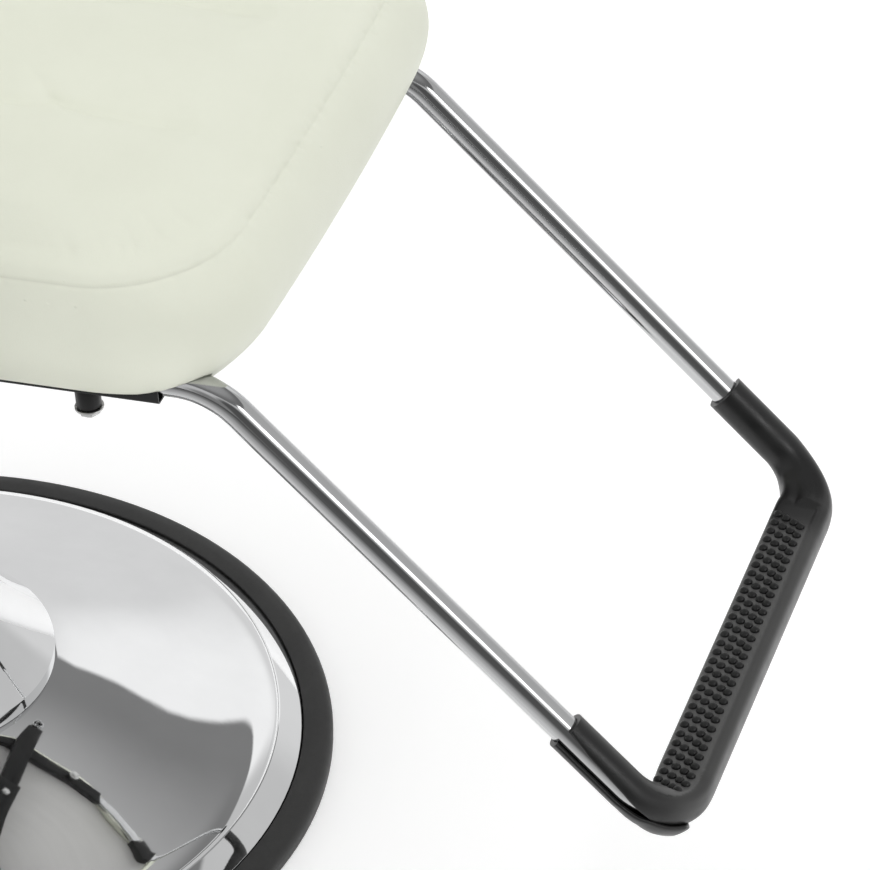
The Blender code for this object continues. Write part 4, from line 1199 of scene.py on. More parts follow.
@dataclass(frozen=True)
class Footrest:
    """The bent chromed tube and its two sockets."""

    radius: float = 0.010
    wall: float = 0.0015
    back: float = 0.010
    bend: float = 0.055
    socket_wall: float = 0.0012
    socket_corner: float = 0.0022
    socket_front: float = -0.282
    socket_back: float = 0.110

    def path(self) -> list[Vector]:
        """The tube's centre line in the seat's frame."""
        side = FRAMES.spacing / 2
        bar_y = FRAMES.bend_at - FRAMES.arm * math.cos(FRAMES.drop)
        bar_z = -FRAMES.arm * math.sin(FRAMES.drop)
        return rounded([((-side, self.back, 0), 0), ((-side, FRAMES.bend_at, 0), self.bend),
                        ((-side, bar_y, bar_z), FRAMES.corner), ((side, bar_y, bar_z), FRAMES.corner),
                        ((side, FRAMES.bend_at, 0), self.bend), ((side, self.back, 0), 0)], steps=20)

    def build(self) -> None:
        """Models and dresses the tube and its sockets."""
        tube = Bench.swept("footrest_bow", self.path(), self.radius, self.wall, FRAMES.seat())
        hand_over(tube, Finishes.TUBE_CHROME, Body.SEAT, "footrest_tube")
        for side in Side:
            self.sleeve(side)

    def sleeve(self, side: Side) -> Piece:
        """A square socket tube with rounded corners, open at both ends.

        Args:
            side: the sitter's side that it is on.

        Returns:
            The piece.
        """
        half, x = FRAMES.socket / 2, side.value * FRAMES.spacing / 2
        outline = rounded([((x + a * half, b * half), self.socket_corner)
                           for a, b in ((-1, -1), (1, -1), (1, 1), (-1, 1))], True, 5)
        piece = Bench.line(f"socket_{side.label}", [(p.x, self.socket_front, p.y) for p in outline], True)
        Bench.drawn_out(piece, (0, self.socket_back - self.socket_front, 0))
        Bench.apply(piece, 'SOLIDIFY', thickness=self.socket_wall, offset=-1)
        Bench.smooth(Bench.settle(piece, FRAMES.seat()))
        return hand_over(piece, Finishes.PAINT, Body.SEAT, f"footrest_socket_{side.label}")


@dataclass(frozen=True)
class Cover:
    """The rubber cover: a sleeve with a slit round the tube's U, in one with the level tread."""

    bore: float = 0.0103
    ring: float = 0.0137
    sleeve: float = 0.093
    back: float = 0.0172
    front: float = 0.0203
    top: float = 0.0143
    depth: float = 0.0138
    tread: float = 0.0125
    roll: float = 0.0082
    near_end: float = 0.1735
    near_dish: float = 0.004
    far_end: float = 0.163
    far_dish: float = 0.020
    step: float = 0.0016
    crease: float = math.radians(50)  # edges sharper than this stay sharp
    slit_at: tuple[float, ...] = (0.0, 0.020, 0.0365, 0.055, 0.0685, 0.076, 0.085, 0.094, 0.098, 0.108, 0.125)
    slit_low: tuple[float, ...] = (-18, -20, -20, -20, -10, 2, 7, 12, 4, -25, -47)  # degrees at those places
    slit_high: tuple[float, ...] = (50, 36, 32, 27, 16, 7, -6, -19, -24, -27, -46.6)
    flap_at: tuple[float, ...] = (0.060, 0.075, 0.084, 0.093, 0.100, 0.108, 0.116)
    flap_out: tuple[float, ...] = (0.0137, 0.0160, 0.0190, 0.0212, 0.0208, 0.0195, 0.0180)
    flap_closes: Flat = (0.097, 0.118)
    flap_from: Flat = (math.radians(215), math.radians(290))
    bar_from: Flat = (0.062, 0.122)  # where the sleeve turns into the crossbar
    flap_wall: float = 0.0034
    lip_round: float = 0.0012
    lip_points: int = 5
    outer_points: int = 84
    inner_points: int = 42
    pip_rows: int = 31
    pip_pitch: float = 0.00975
    pip_middle: float = -0.0190
    pip_across: tuple[float, ...] = (-0.0098, -0.0034, 0.0030, 0.0082)
    pip_shift: float = -0.0030  # of each column along the one behind it
    pip_radius: float = 0.0033
    pip_height: float = 0.0029
    pip_form: tuple[Flat, ...] = ((0, 1), (0.42, 0.90), (0.76, 0.62), (0.95, 0.28))  # shares of these two
    pip_sunk: float = 0.0006
    pip_sides: int = 10
    roll_step: float = 0.0022
    roll_edge: float = 0.0012
    # The cover's lightening: dust on the tread's top, and painted light with dust on the roll, more towards its top
    # where it faces the light. Both fade out towards the ends.
    roll_dust: float = 0.25
    tread_dust: float = 0.55
    dust_end: Flat = (0.108, 0.138)
    dust_start: float = 0.020
    dust_rise: Flat = (-0.008, 0.004)

    def build(self) -> None:
        """Models and dresses the cover and its pips."""
        piece = self.shell()
        pips = self.pips()
        hand_over(Bench.joined("cover_moulding", [piece, pips]), Finishes.RUBBER, Body.SEAT, "footrest_cover")

    def bar_radius(self) -> Callable[[float], float]:
        """The crossbar's section as a distance from the tube's axis.

        Returns:
            A function of the angle from straight ahead towards up.
        """
        outline = rounded([
            ((-self.back, self.tread), 0.0012), ((-self.back * 0.3, self.tread), 0.01), ((0.010, self.top), 0.02),
            ((self.front, self.top - 0.001), 0.0072), ((self.front, -self.depth), 0.0122),
            ((-self.back, -self.depth), 0.0115)], True, 10)
        angles = np.unwrap([math.atan2(point.y, point.x) for point in outline])
        reach = np.array([point.length for point in outline])
        order = np.argsort(angles % (2 * math.pi))
        turned, sizes = (angles % (2 * math.pi))[order], reach[order]
        turned = np.concatenate([turned - 2 * math.pi, turned, turned + 2 * math.pi])
        sizes = np.tile(sizes, 3)
        return lambda angle: float(np.interp(angle % (2 * math.pi), turned, sizes))

    def station(self, run: float) -> tuple[Vector, Vector]:
        """A point of the U's centre line in the footrest's plane.

        Args:
            run: distance from the sleeve's end on the sitter's right.

        Returns:
            The point and the direction out of the U there.
        """
        side, arc = FRAMES.spacing / 2, FRAMES.corner * math.pi / 2
        straight = self.sleeve - FRAMES.corner
        if run < straight:
            return Vector((-side, -FRAMES.arm + self.sleeve - run, 0)), Vector((-1, 0, 0))
        if run < straight + arc:
            turn = (run - straight) / FRAMES.corner
            out = Vector((-math.cos(turn), -math.sin(turn), 0))
            return Vector((FRAMES.corner - side, FRAMES.corner - FRAMES.arm, 0)) + out * FRAMES.corner, out
        return Vector((FRAMES.corner - side + run - straight - arc, -FRAMES.arm, 0)), Vector((0, -1, 0))

    def slit(self, run: float) -> Flat:
        """The slit's two edges as angles from straight out of the U.

        Args:
            run: distance from the sleeve's end.

        Returns:
            The lower and the upper edge's angle.
        """
        low, high = (math.radians(float(np.interp(run, self.slit_at, edge)))
                     for edge in (self.slit_low, self.slit_high))
        return low, high

    def section(self, run: float, bar: Callable[[float], float]) -> list[Flat]:
        """The cover's section at a station as (angle, distance) points round the tube's axis.

        Args:
            run: distance from the nearer sleeve end.
            bar: the crossbar's section.

        Returns:
            The points: round the outside from the slit's upper edge to its lower edge, then back inside.
        """
        low, high = self.slit(run)
        ahead = FRAMES.drop - FRAMES.seat_tilt
        flap = float(np.interp(run, self.flap_at, self.flap_out))
        closed = smooth_step(run, *self.flap_closes)
        reaches, bores, angles = [], [], []
        for i in range(self.outer_points + 1):
            angle = high + (2 * math.pi + low - high) * i / self.outer_points
            under = smooth_step(angle, *self.flap_from)
            bar_reach = bar(angle - ahead)
            upper = self.ring + (bar_reach - self.ring) * smooth_step(run, *self.bar_from)
            lower = flap + (bar_reach - flap) * closed
            loose = max(flap - self.flap_wall, self.bore) * (1 - closed) + self.bore * closed
            angles.append(angle)
            reaches.append(upper + (lower - upper) * under)
            bores.append(self.bore + (loose - self.bore) * under)
        points = list(zip(angles, reaches))
        step = (len(angles) - 1) / self.inner_points
        inside = [(angles[round(i * step)], bores[round(i * step)]) for i in range(self.inner_points, -1, -1)]
        rim, back = self.lip(points[-1], inside[0], 1), self.lip(points[0], inside[-1], -1)
        return points + rim + inside + back[::-1]

    def lip(self, outer: Flat, inner: Flat, way: int) -> list[Flat]:
        """The rounded edge of the slit between the outside and the bore.

        Args:
            outer: (angle, distance) of the outside's last point.
            inner: the same on the bore.
            way: 1 where the slit lies at larger angles, -1 where it lies at smaller ones.

        Returns:
            The points between the two.
        """
        wall = outer[1] - inner[1]
        points = []
        for i in range(1, self.lip_points):
            turn = math.pi * i / self.lip_points
            bulge = way * self.lip_round * math.sin(turn) / self.ring
            points.append((outer[0] + bulge, outer[1] - wall * (1 - math.cos(turn)) / 2))
        return points

    def shell(self) -> Piece:
        """The sleeve and tread, lofted through sections along the U."""
        bar = self.bar_radius()
        place, level = FRAMES.footrest(), FRAMES.bar().inverted()
        half = self.sleeve - FRAMES.corner + FRAMES.corner * math.pi / 2 + FRAMES.spacing / 2 - FRAMES.corner
        count = 2 * round(half / self.step)
        shape = bmesh.new()
        # Lightening of the rubber's colour by dust and painted light.
        dust = shape.verts.layers.float.new("dust")
        rings = []
        for k in range(count + 1):
            run = 2 * half * k / count
            near = min(run, 2 * half - run)
            centre, out = self.station(near)
            ring = []
            for angle, reach in self.section(near, bar):
                spot = centre + out * (math.cos(angle) * reach) + Vector((0, 0, math.sin(angle) * reach))
                spot = place @ spot
                if run > half:
                    spot.x = -spot.x
                spot, grey = self.carved(level @ spot)
                vertex = shape.verts.new(FRAMES.bar() @ spot)
                vertex[dust] = grey
                ring.append(vertex)
            rings.append(ring)
        for one, two in zip(rings, rings[1:]):
            for i in range(len(one)):
                j = (i + 1) % len(one)
                shape.faces.new((one[i], one[j], two[j], two[i]))
        shape.faces.new(rings[0][::-1])
        shape.faces.new(rings[-1])
        mesh = bpy.data.meshes.new("cover_shell")
        shape.to_mesh(mesh)
        shape.free()
        return Bench.smooth(Bench.weld(Bench.linked("cover_shell", mesh)), self.crease)

    def bow(self, x: float) -> Flat:
        """How far the bends carry the bar back and up at a place along it."""
        over = min(max(abs(x) - FRAMES.spacing / 2 + FRAMES.corner, 0.0), FRAMES.corner)
        rise = FRAMES.corner - math.sqrt(FRAMES.corner ** 2 - over ** 2)
        tilt = FRAMES.drop - FRAMES.seat_tilt
        return rise * math.cos(tilt), rise * math.sin(tilt)

    def carved(self, spot: Vector) -> tuple[Vector, float]:
        """Lowers a point of the cover's top to the tread.

        Args:
            spot: a point in the bar's level frame.

        Returns:
            The point, on the tread where it lies over it, and how far its colour is lightened: by dust on the tread,
            and by painted light with dust on the roll.
        """
        back, lift = self.bow(spot.x)
        ahead, edge = back - spot.y, self.front - self.roll
        floor = self.tread + lift
        floor += self.roll_step * smooth_step(ahead, edge - self.roll_edge, edge + self.roll_edge)
        end, dish = (self.near_end, self.near_dish) if spot.x < 0 else (self.far_end, self.far_dish)
        past = abs(spot.x) - end + dish
        if past > 0:
            floor += dish - math.sqrt(max(dish ** 2 - past ** 2, 0)) if past < dish else 1.0
        top = spot.z > self.bore + lift
        # Painted light with dust on the roll, more towards its top; dust on the tread's top; both fade out towards the
        # ends.
        along = smooth_step(spot.x, -end - self.dust_start, -end) * (1 - smooth_step(spot.x, *self.dust_end))
        dust = self.roll_dust * smooth_step(spot.z, *self.dust_rise) if ahead > edge else self.tread_dust * top
        return Vector((spot.x, spot.y, min(spot.z, floor))), along * dust

    def pips(self) -> Piece:
        """The rows of round pips on the tread."""
        profile = [(self.pip_radius * wide, self.pip_height * high) for wide, high in self.pip_form]
        profile.append((self.pip_radius, -self.pip_sunk))
        first = Bench.spun("pip_pattern", profile, self.pip_sides, closed=False)
        pieces = []
        length = (self.pip_rows - 1) * self.pip_pitch
        middle = (self.front - self.roll - self.back) / 2
        for row in range(self.pip_rows):
            for column, across in enumerate(self.pip_across):
                x = self.pip_middle - length / 2 + row * self.pip_pitch
                x += (column - (len(self.pip_across) - 1) / 2) * self.pip_shift
                back, lift = self.bow(x)
                spot = Matrix.Translation((x, back - middle - across, self.tread + lift))
                pieces.append(Bench.copied(f"pip_{row}_{column}", first, FRAMES.bar() @ spot))
        Bench.discard(first)
        return Bench.joined("cover_pips", pieces)


@dataclass(frozen=True)
class SeatFrame:
    """The hub, plate, rails, brackets and boards that carry the upholstery."""

    ease: float = 0.0009
    hub_ease: float = 0.0012
    panel_ease: float = 0.0016
    bracket_ease: float = 0.0011
    bracket_width: float = 0.040
    bracket_thickness: float = 0.006
    bracket_start: float = 0.010
    bracket_bend: float = 0.035
    bracket_top: float = 0.360
    bracket_spacing: float = 0.260

    def build(self, nodes: dict[str, Piece]) -> None:
        """Models and dresses the seat's frame.

        Args:
            nodes: the CAD nodes.
        """
        for name, node, width, finish in (
                ("hub_casting", "swivel_hub", self.hub_ease, Finishes.PAINT),
                ("mount_plate_body", "seat_mount_plate", self.ease, Finishes.PAINT),
                ("rail_front_bar", "cross_rail_front", self.ease, Finishes.PAINT),
                ("rail_rear_bar", "cross_rail_rear", self.ease, Finishes.PAINT),
                ("seat_base_board", "seat_board", self.hub_ease, Finishes.PLYWOOD),
                ("back_panel", "back_board", self.panel_ease, Finishes.VINYL)):
            hand_over(Bench.eased_copy(name, nodes[node], width), finish, Body.SEAT, node)
        for side in Side:
            self.bracket(side)

    def bracket(self, side: Side) -> Piece:
        """A flat bar bent up behind the back.

        Args:
            side: the sitter's side that it is on.

        Returns:
            The piece.
        """
        foot, x = FRAMES.back_foot, side.value * self.bracket_spacing / 2
        rise = Vector((0, math.sin(FRAMES.recline), math.cos(FRAMES.recline)))
        corner = Vector((0, FRAMES.back_at, foot))
        path = rounded([((0, self.bracket_start, foot), 0), (corner, self.bracket_bend),
                        (corner + rise * self.bracket_top, 0)], steps=14)
        half, thick = self.bracket_width / 2, self.bracket_thickness
        piece = Bench.line(f"bracket_bar_{side.label}", [point + Vector((x - half, 0, 0)) for point in path])
        Bench.drawn_out(piece, (2 * half, 0, 0))
        Bench.apply(piece, 'SOLIDIFY', thickness=thick, offset=0, use_even_offset=True)
        Bench.ease(piece, self.bracket_ease)
        Bench.smooth(Bench.settle(piece, FRAMES.seat()))
        return hand_over(piece, Finishes.PAINT, Body.SEAT, f"back_bracket_{side.label}")


@dataclass(frozen=True)
class Arms:
    """The bent arm tubes and their moulded pads."""

    radius: float = 0.011
    wall: float = 0.0015
    out: float = 0.259
    height: float = 0.315
    front_lean: float = 0.018
    rear_lean: float = 0.020
    bend: float = 0.055
    foot: float = -0.0358
    pad_length: float = 0.270
    pad_width: float = 0.052
    pad_height: float = 0.032
    pad_low: float = 0.318
    pad_cuts: tuple[int, int, int] = (11, 39, 7)
    pad_crease: float = math.radians(45)
    groove_reach: float = 0.2

    def build(self) -> None:
        """Models and dresses both arms."""
        for side in Side:
            x = side.value * self.out
            path = rounded([((x, FRAMES.rail_front, self.foot), 0),
                            ((x, FRAMES.rail_front - self.front_lean, self.height), self.bend),
                            ((x, FRAMES.rail_rear + self.rear_lean, self.height), self.bend),
                            ((x, FRAMES.rail_rear, self.foot), 0)], steps=18)
            tube = Bench.swept(f"arm_bow_{side.label}", path, self.radius, self.wall, FRAMES.seat())
            hand_over(tube, Finishes.TUBE_CHROME, Body.SEAT, f"arm_frame_{side.label}")
            self.pad(side)

    def pad(self, side: Side) -> Piece:
        """A moulded pad: full in the middle, rounded at its ends, with a groove for the tube.

        Args:
            side: the sitter's side that it is on.

        Returns:
            The piece.
        """
        x = side.value * self.out
        middle = (FRAMES.rail_front - self.front_lean + FRAMES.rail_rear + self.rear_lean) / 2
        piece = Bench.grid_cube(f"arm_rest_{side.label}", self.pad_cuts)
        for vertex in piece.data.vertices:
            a, b, c = vertex.co
            up = (c + 1) / 2
            end = (1 - abs(b) ** 5) ** 0.5 if abs(b) < 1 else 0.0
            narrow = (0.30 + 0.70 * end) * (1 - 0.10 * (1 - math.sin(math.pi * (0.2 + 0.6 * up))))
            wide = a * (1 - 0.10 * abs(a) ** 3 * abs(2 * up - 1) ** 2)
            crown = 1 - 0.16 * a * a - 0.22 * abs(b) ** 3
            vertex.co = (x + wide * narrow * self.pad_width / 2,
                         middle + b * self.pad_length / 2 * (1 - 0.02 * a * a - 0.03 * abs(2 * up - 1) ** 2),
                         self.pad_low + self.pad_height * up * (crown if c > 0 else 1))
        Bench.apply(piece, 'SUBSURF', levels=2, render_levels=2)
        bore, reach = self.radius + CLEAR, self.groove_reach
        along = Matrix.Translation((x, middle, self.height)) @ Matrix.Rotation(math.pi / 2, 4, 'X')
        Bench.cut(piece, Bench.spun("pad_groove", [(0, -reach), (bore, -reach), (bore, reach), (0, reach)], 48, along,
                                    False))
        Bench.smooth(Bench.settle(piece, FRAMES.seat()), self.pad_crease)
        hand_over(piece, Finishes.PAD, Body.SEAT, f"arm_pad_{side.label}")
        return piece


@dataclass(frozen=True)
class Cushion:
    """A boxed cushion: vinyl drawn over foam, sewn along a seam between its top and its sides."""

    name: str
    node: str
    half_width: float
    front: float
    rear: float
    corner_low: float
    corner_seam: float
    bottom: float
    boxing: float
    crown: float
    tuck: float
    seam_side: float
    seam_front: float
    belly: float = 0.47  # share of the boxing's height where it stands out furthest
    bow: float = 0.0  # how far the front edge curves back at its ends
    corner_full: float = 0.0  # how much less the corners are tucked in
    shoulder: float = 0.010
    shoulder_run: float = 0.008
    channels: tuple[float, ...] = ()
    channel_depth: float = 0.0
    channel_wide: Flat = (0.65, 0.10)  # a channel's soft part: its share of the depth, and its width
    channel_fine: Flat = (0.35, 0.026)
    channel_ends: Flat = (0.60, 0.88)
    under_curve: float = 1.8  # how the boxing turns in below its belly
    over_curve: float = 2.2
    near_corner: Flat = (0.6, 1.0)
    tacked: float = -0.5  # up to here the boxing is tacked to its board
    freed: Flat = (0.1, 0.55)  # between these it is free
    seam_hold: float = 0.16  # width that the seam holds down on top
    channel_hold: float = 0.7
    fullness: float = 2.2
    swell: float = 0.005  # how far the cover may puff out
    slack: float = 0.25  # share of the swell that the form is drawn in before it puffs out
    pressure: float = 4.0
    frames: int = 20  # of the simulation
    cell: float = 0.0065
    bands: Flat = (0.012, 0.0035)  # widths round the seam that are refined in turn
    gather: Flat = (0.020, 0.045)  # behind the front edge, where its gathered seam ends
    crease: Flat = (0.16, 0.13)  # the seam's painted shade, and how much less of it there is along the front
    crease_width: float = 0.0009
    groove: Flat = (0.0008, 0.0004)  # the seam's depth, and how much less it is along the front
    groove_width: float = 0.0014
    pucker: Flat = (0.0003, 0.0009)  # the height of the folds at the seam, and how much more along the front
    pucker_scale: float = 150.0
    pucker_width: float = 0.007
    sewn_width: float = 0.016

    def plan(self, a: float, b: float, half_width: float, half_length: float, corner: float) -> Flat:
        """Where a point of the square from -1 to 1 falls on a rounded rectangle.

        Args:
            a: place across.
            b: place along.
            half_width: the rectangle's half width.
            half_length: its half length.
            corner: its corner radius.

        Returns:
            The point.
        """
        reach = max(abs(a), abs(b))
        if reach == 0:
            return 0.0, 0.0
        x, y = abs(a) / reach * half_width, abs(b) / reach * half_length
        over = Vector((x - (half_width - corner), y - (half_length - corner)))
        if min(over) > 0:
            over = over.normalized() * corner
            x, y = half_width - corner + over.x, half_length - corner + over.y
        return math.copysign(x * reach, a), math.copysign(y * reach, b)

    def valley(self, a: float, b: float) -> float:
        """How deep the sewn channels are at a point of the top, from 0 to 1."""
        deepest = 0.0
        for channel in self.channels:
            aside = abs(a) - channel
            deepest = max(deepest, sum(share * math.exp(-(aside / width) ** 2)
                                       for share, width in (self.channel_wide, self.channel_fine)))
        return deepest * (1 - smooth_step(abs(b), *self.channel_ends))

    def inset(self, up: float, seam: float, corner: float) -> float:
        """How far the boxing stands in from the cushion's outline.

        Args:
            up: share of the boxing's height.
            seam: the inset at the seam.
            corner: how near a corner it is, from 0 to 1.

        Returns:
            The inset.
        """
        if up < self.belly:
            return self.tuck * (1 - self.corner_full * corner) * (1 - up / self.belly) ** self.under_curve
        return seam * ((up - self.belly) / (1 - self.belly)) ** self.over_curve

    def point(self, a: float, b: float, c: float, slack: float) -> Vector:
        """A point of the cushion's form.

        Args:
            a: place across, from -1 to 1.
            b: place along, from -1 at the front to 1.
            c: place from -1 at the bottom to 1 on top.
            slack: how far the form is drawn in.

        Returns:
            The point in the cushion's frame.
        """
        up = (c + 1) / 2
        loose = slack * math.sin(math.pi * up)
        corner = self.corner_low * (1 - up) + self.corner_seam * up
        near = smooth_step(min(abs(a), abs(b)), *self.near_corner)
        half_length = (self.rear - self.front) / 2
        x, y = self.plan(a, b, self.half_width - self.inset(up, self.seam_side, near) - loose,
                         half_length - self.inset(up, self.seam_front, near) - loose, corner)
        if b < 0:
            y += self.bow * (x / self.half_width) ** 2 * abs(b)
        z = self.bottom + self.boxing * up
        if c > 1 - MERGE:
            reach = max(abs(a), abs(b))
            full = 1 - reach ** self.fullness
            z += self.shoulder * (1 - math.exp((reach - 1) * self.half_width / self.shoulder_run))
            z += (self.crown - slack) * full - self.channel_depth * self.valley(a, b)
        return Vector((x, y + (self.front + self.rear) / 2, z))

    def hold(self, a: float, b: float, c: float) -> float:
        """How freely a point may puff out: 0 where it is tacked or sewn, 1 in the open."""
        if c < self.tacked:
            return 0.0
        if c < 1 - MERGE:
            return smooth_step(c, self.tacked, self.freed[0]) * (1 - smooth_step(c, self.freed[1], 1.0))
        reach = max(abs(a), abs(b))
        return smooth_step(1 - reach, 0.0, self.seam_hold) * (1 - self.channel_hold * self.valley(a, b))

    def build(self, place: Matrix) -> Piece:
        """Models the cushion in its own frame and puts it in place.

        Args:
            place: the cushion's frame.

        Returns:
            The piece, without its board's pocket.
        """
        across, along = round(2 * self.half_width / self.cell), round((self.rear - self.front) / self.cell)
        piece = Bench.grid_cube(self.name, (across - 1, along - 1, round(self.boxing / self.cell)))
        mesh = piece.data
        grid = np.array([vertex.co for vertex in mesh.vertices])
        for label, column in zip(("plan_a", "plan_b", "rise"), grid.T):
            mesh.attributes.new(label, 'FLOAT', 'POINT').data.foreach_set("value", column.astype(np.float32))
        mesh.attributes.new("puff", 'FLOAT_VECTOR', 'POINT')
        self.form(piece)
        self.inflate(piece, grid)
        Bench.apply(piece, 'SUBSURF', subdivision_type='SIMPLE', levels=1, render_levels=1)
        self.form(piece)
        self.sew(piece)
        return Bench.settle(piece, place)

    @staticmethod
    def read(piece: Piece, label: str, width: int = 1) -> np.ndarray:
        """One of the cover's attributes, a row for each vertex."""
        values = np.zeros(len(piece.data.vertices) * width, np.float32)
        piece.data.attributes[label].data.foreach_get("value" if width == 1 else "vector", values)
        return values.reshape(-1, width)

    def form(self, piece: Piece) -> None:
        """Puts every vertex where its place on the form and its puff say.

        Args:
            piece: the cushion, in its own frame.
        """
        slack = self.slack * self.swell
        places = np.hstack([self.read(piece, label) for label in ("plan_a", "plan_b", "rise")])
        puffs = self.read(piece, "puff", 3)
        for vertex, spot, puff in zip(piece.data.vertices, places.tolist(), puffs.tolist()):
            vertex.co = self.point(*spot, slack) + Vector(puff)

    def inflate(self, piece: Piece, grid: np.ndarray) -> None:
        """Puffs the cover out with a cloth simulation, as far as its tacks and seams allow.

        Args:
            piece: the cushion; its puff is kept as an attribute.
            grid: each vertex's place on the form.
        """
        Bench.pick(piece)
        start = np.array([vertex.co for vertex in piece.data.vertices])
        freedom = np.array([self.hold(*row) for row in grid])
        tacks = piece.vertex_groups.new(name="tacks")
        tacks.add([int(i) for i in np.flatnonzero(freedom < 0.02)], 1.0, 'ADD')
        cloth = piece.modifiers.new("cover", 'CLOTH')
        settings = cloth.settings
        settings.use_pressure = True
        settings.uniform_pressure_force = self.pressure
        settings.effector_weights.gravity = 0.0
        settings.vertex_group_mass = tacks.name
        settings.quality = 5
        cloth.collision_settings.use_collision = False
        for step in range(self.frames):
            bpy.context.scene.frame_set(step + 1)
        bpy.ops.object.modifier_apply(modifier=cloth.name)
        moved = np.array([vertex.co for vertex in piece.data.vertices]) - start
        bpy.context.scene.frame_set(1)
        length = np.maximum(np.linalg.norm(moved, axis=1), TINY)
        share = np.minimum(1.0, freedom * self.swell / length)
        puff = (moved * share[:, None]).astype(np.float32)
        piece.data.attributes["puff"].data.foreach_set("vector", puff.ravel())
        piece.vertex_groups.clear()

    def seam(self, piece: Piece) -> KDTree:
        """The points of the cover's seam, for finding the nearest one."""
        across, along, rise = (self.read(piece, label)[:, 0] for label in ("plan_a", "plan_b", "rise"))
        line = np.flatnonzero((np.maximum(abs(across), abs(along)) > 0.9985) & (rise > 0.998)).tolist()
        tree = KDTree(len(line))
        for i in line:
            tree.insert(piece.data.vertices[i].co, i)
        tree.balance()
        return tree

    def sew(self, piece: Piece) -> None:
        """Refines the cover along its seam and draws the seam in.

        Args:
            piece: the cushion, in its own frame.
        """
        for width in self.bands:
            tree = self.seam(piece)
            with Bench.editing(piece):
                Bench.select(piece, Element.FACE, lambda face: tree.find(face.calc_center_median())[2] < width)
                bpy.ops.mesh.subdivide(number_cuts=1)
            self.form(piece)
        tree = self.seam(piece)
        # Painted shade along the seam, kept in the crease attribute.
        crease = piece.data.attributes.new("crease", 'FLOAT', 'POINT')
        normals = [vertex.normal.copy() for vertex in piece.data.vertices]
        gaps = [tree.find(vertex.co)[2] for vertex in piece.data.vertices]
        gather_start, gather_end = (self.front + behind for behind in self.gather)
        for vertex, normal, gap in zip(piece.data.vertices, normals, gaps):
            front = 1 - smooth_step(vertex.co.y, gather_start, gather_end)
            shade = self.crease[0] - self.crease[1] * front
            crease.data[vertex.index].value = shade * math.exp(-(gap / self.crease_width) ** 2)
            if gap < self.sewn_width:
                fold = noise.noise(vertex.co * self.pucker_scale) * (self.pucker[0] + self.pucker[1] * front)
                fold *= math.exp(-(gap / self.pucker_width) ** 2)
                depth = (self.groove[0] - self.groove[1] * front) * math.exp(-(gap / self.groove_width) ** 2)
                vertex.co -= normal * (depth + fold)
        piece.data.shade_smooth()


@dataclass(frozen=True)
class Upholstery:
    """The seat's and the back's cushions."""

    tube: float = 0.011  # with the gap round it
    board: float = 0.0156  # with the gap over it
    notch: Flat = (-0.2823, 0.14)
    seat_pocket: tuple[float, float, float, float] = (0.202, -0.301, 0.0975, 0.060)  # half width, ends, corners
    back_pocket: tuple[float, float, float, float] = (0.196, 0.174, 0.526, 0.070)

    def seat_form(self) -> Cushion:
        """The seat's cushion."""
        return Cushion("seat_upholstery", "seat_cushion", half_width=0.2335, front=-0.3500, rear=0.130,
                       corner_low=0.084, corner_seam=0.0825, bottom=-0.0050, boxing=0.0940, crown=0.018,
                       tuck=0.0285, seam_side=0.0092, seam_front=0.0208, belly=0.598, bow=0.0072,
                       corner_full=0.215, channels=(0.31,), channel_depth=0.0045)

    def back_form(self) -> Cushion:
        """The back's cushion."""
        return Cushion("back_upholstery", "back_cushion", half_width=0.230, front=0.140, rear=0.560,
                       corner_low=0.090, corner_seam=0.090, bottom=0.0033, boxing=0.055, crown=0.014,
                       tuck=0.014, seam_side=0.012, seam_front=0.012, shoulder=0.008)

    @staticmethod
    def pocket(name: str, sizes: tuple[float, float, float, float], depth: float, place: Matrix) -> Piece:
        """The space that a board takes up in its cushion.

        Args:
            name: the cutter's name.
            sizes: the board's half width, its two ends and its corners' radius.
            depth: how far it reaches into the cushion.
            place: the cushion's frame.

        Returns:
            The cutter.
        """
        half, low, high, corner = sizes
        outline = [((x, y), corner) for x, y in ((-half, low), (half, low), (half, high), (-half, high))]
        return Bench.plate(name, rounded(outline, True, 8), -0.02, depth, place)

    def build(self, footrest: Footrest) -> None:
        """Models and dresses both cushions.

        Args:
            footrest: the tube that passes under the seat's front edge.
        """
        seat, back = FRAMES.seat(), FRAMES.back()
        form = self.seat_form()
        cushion = form.build(seat)
        Bench.cut(cushion, self.pocket("seat_pocket", self.seat_pocket, FRAMES.socket / 2 + self.board, seat))
        gap, (start, end) = FRAMES.socket / 2 + CLEAR, self.notch
        for side in Side:
            x = side.value * FRAMES.spacing / 2
            Bench.cut(cushion, Bench.block("socket_notch", (x - gap, start, -0.03), (x + gap, end, gap), place=seat))
        Bench.cut(cushion, Bench.swept("tube_notch", footrest.path(), self.tube, 0.0, seat, 10))
        hand_over(cushion, Finishes.VINYL, Body.SEAT, form.node)
        form = self.back_form()
        rest = form.build(back)
        Bench.cut(rest, self.pocket("back_pocket", self.back_pocket, self.board, back))
        hand_over(rest, Finishes.VINYL, Body.SEAT, form.node)


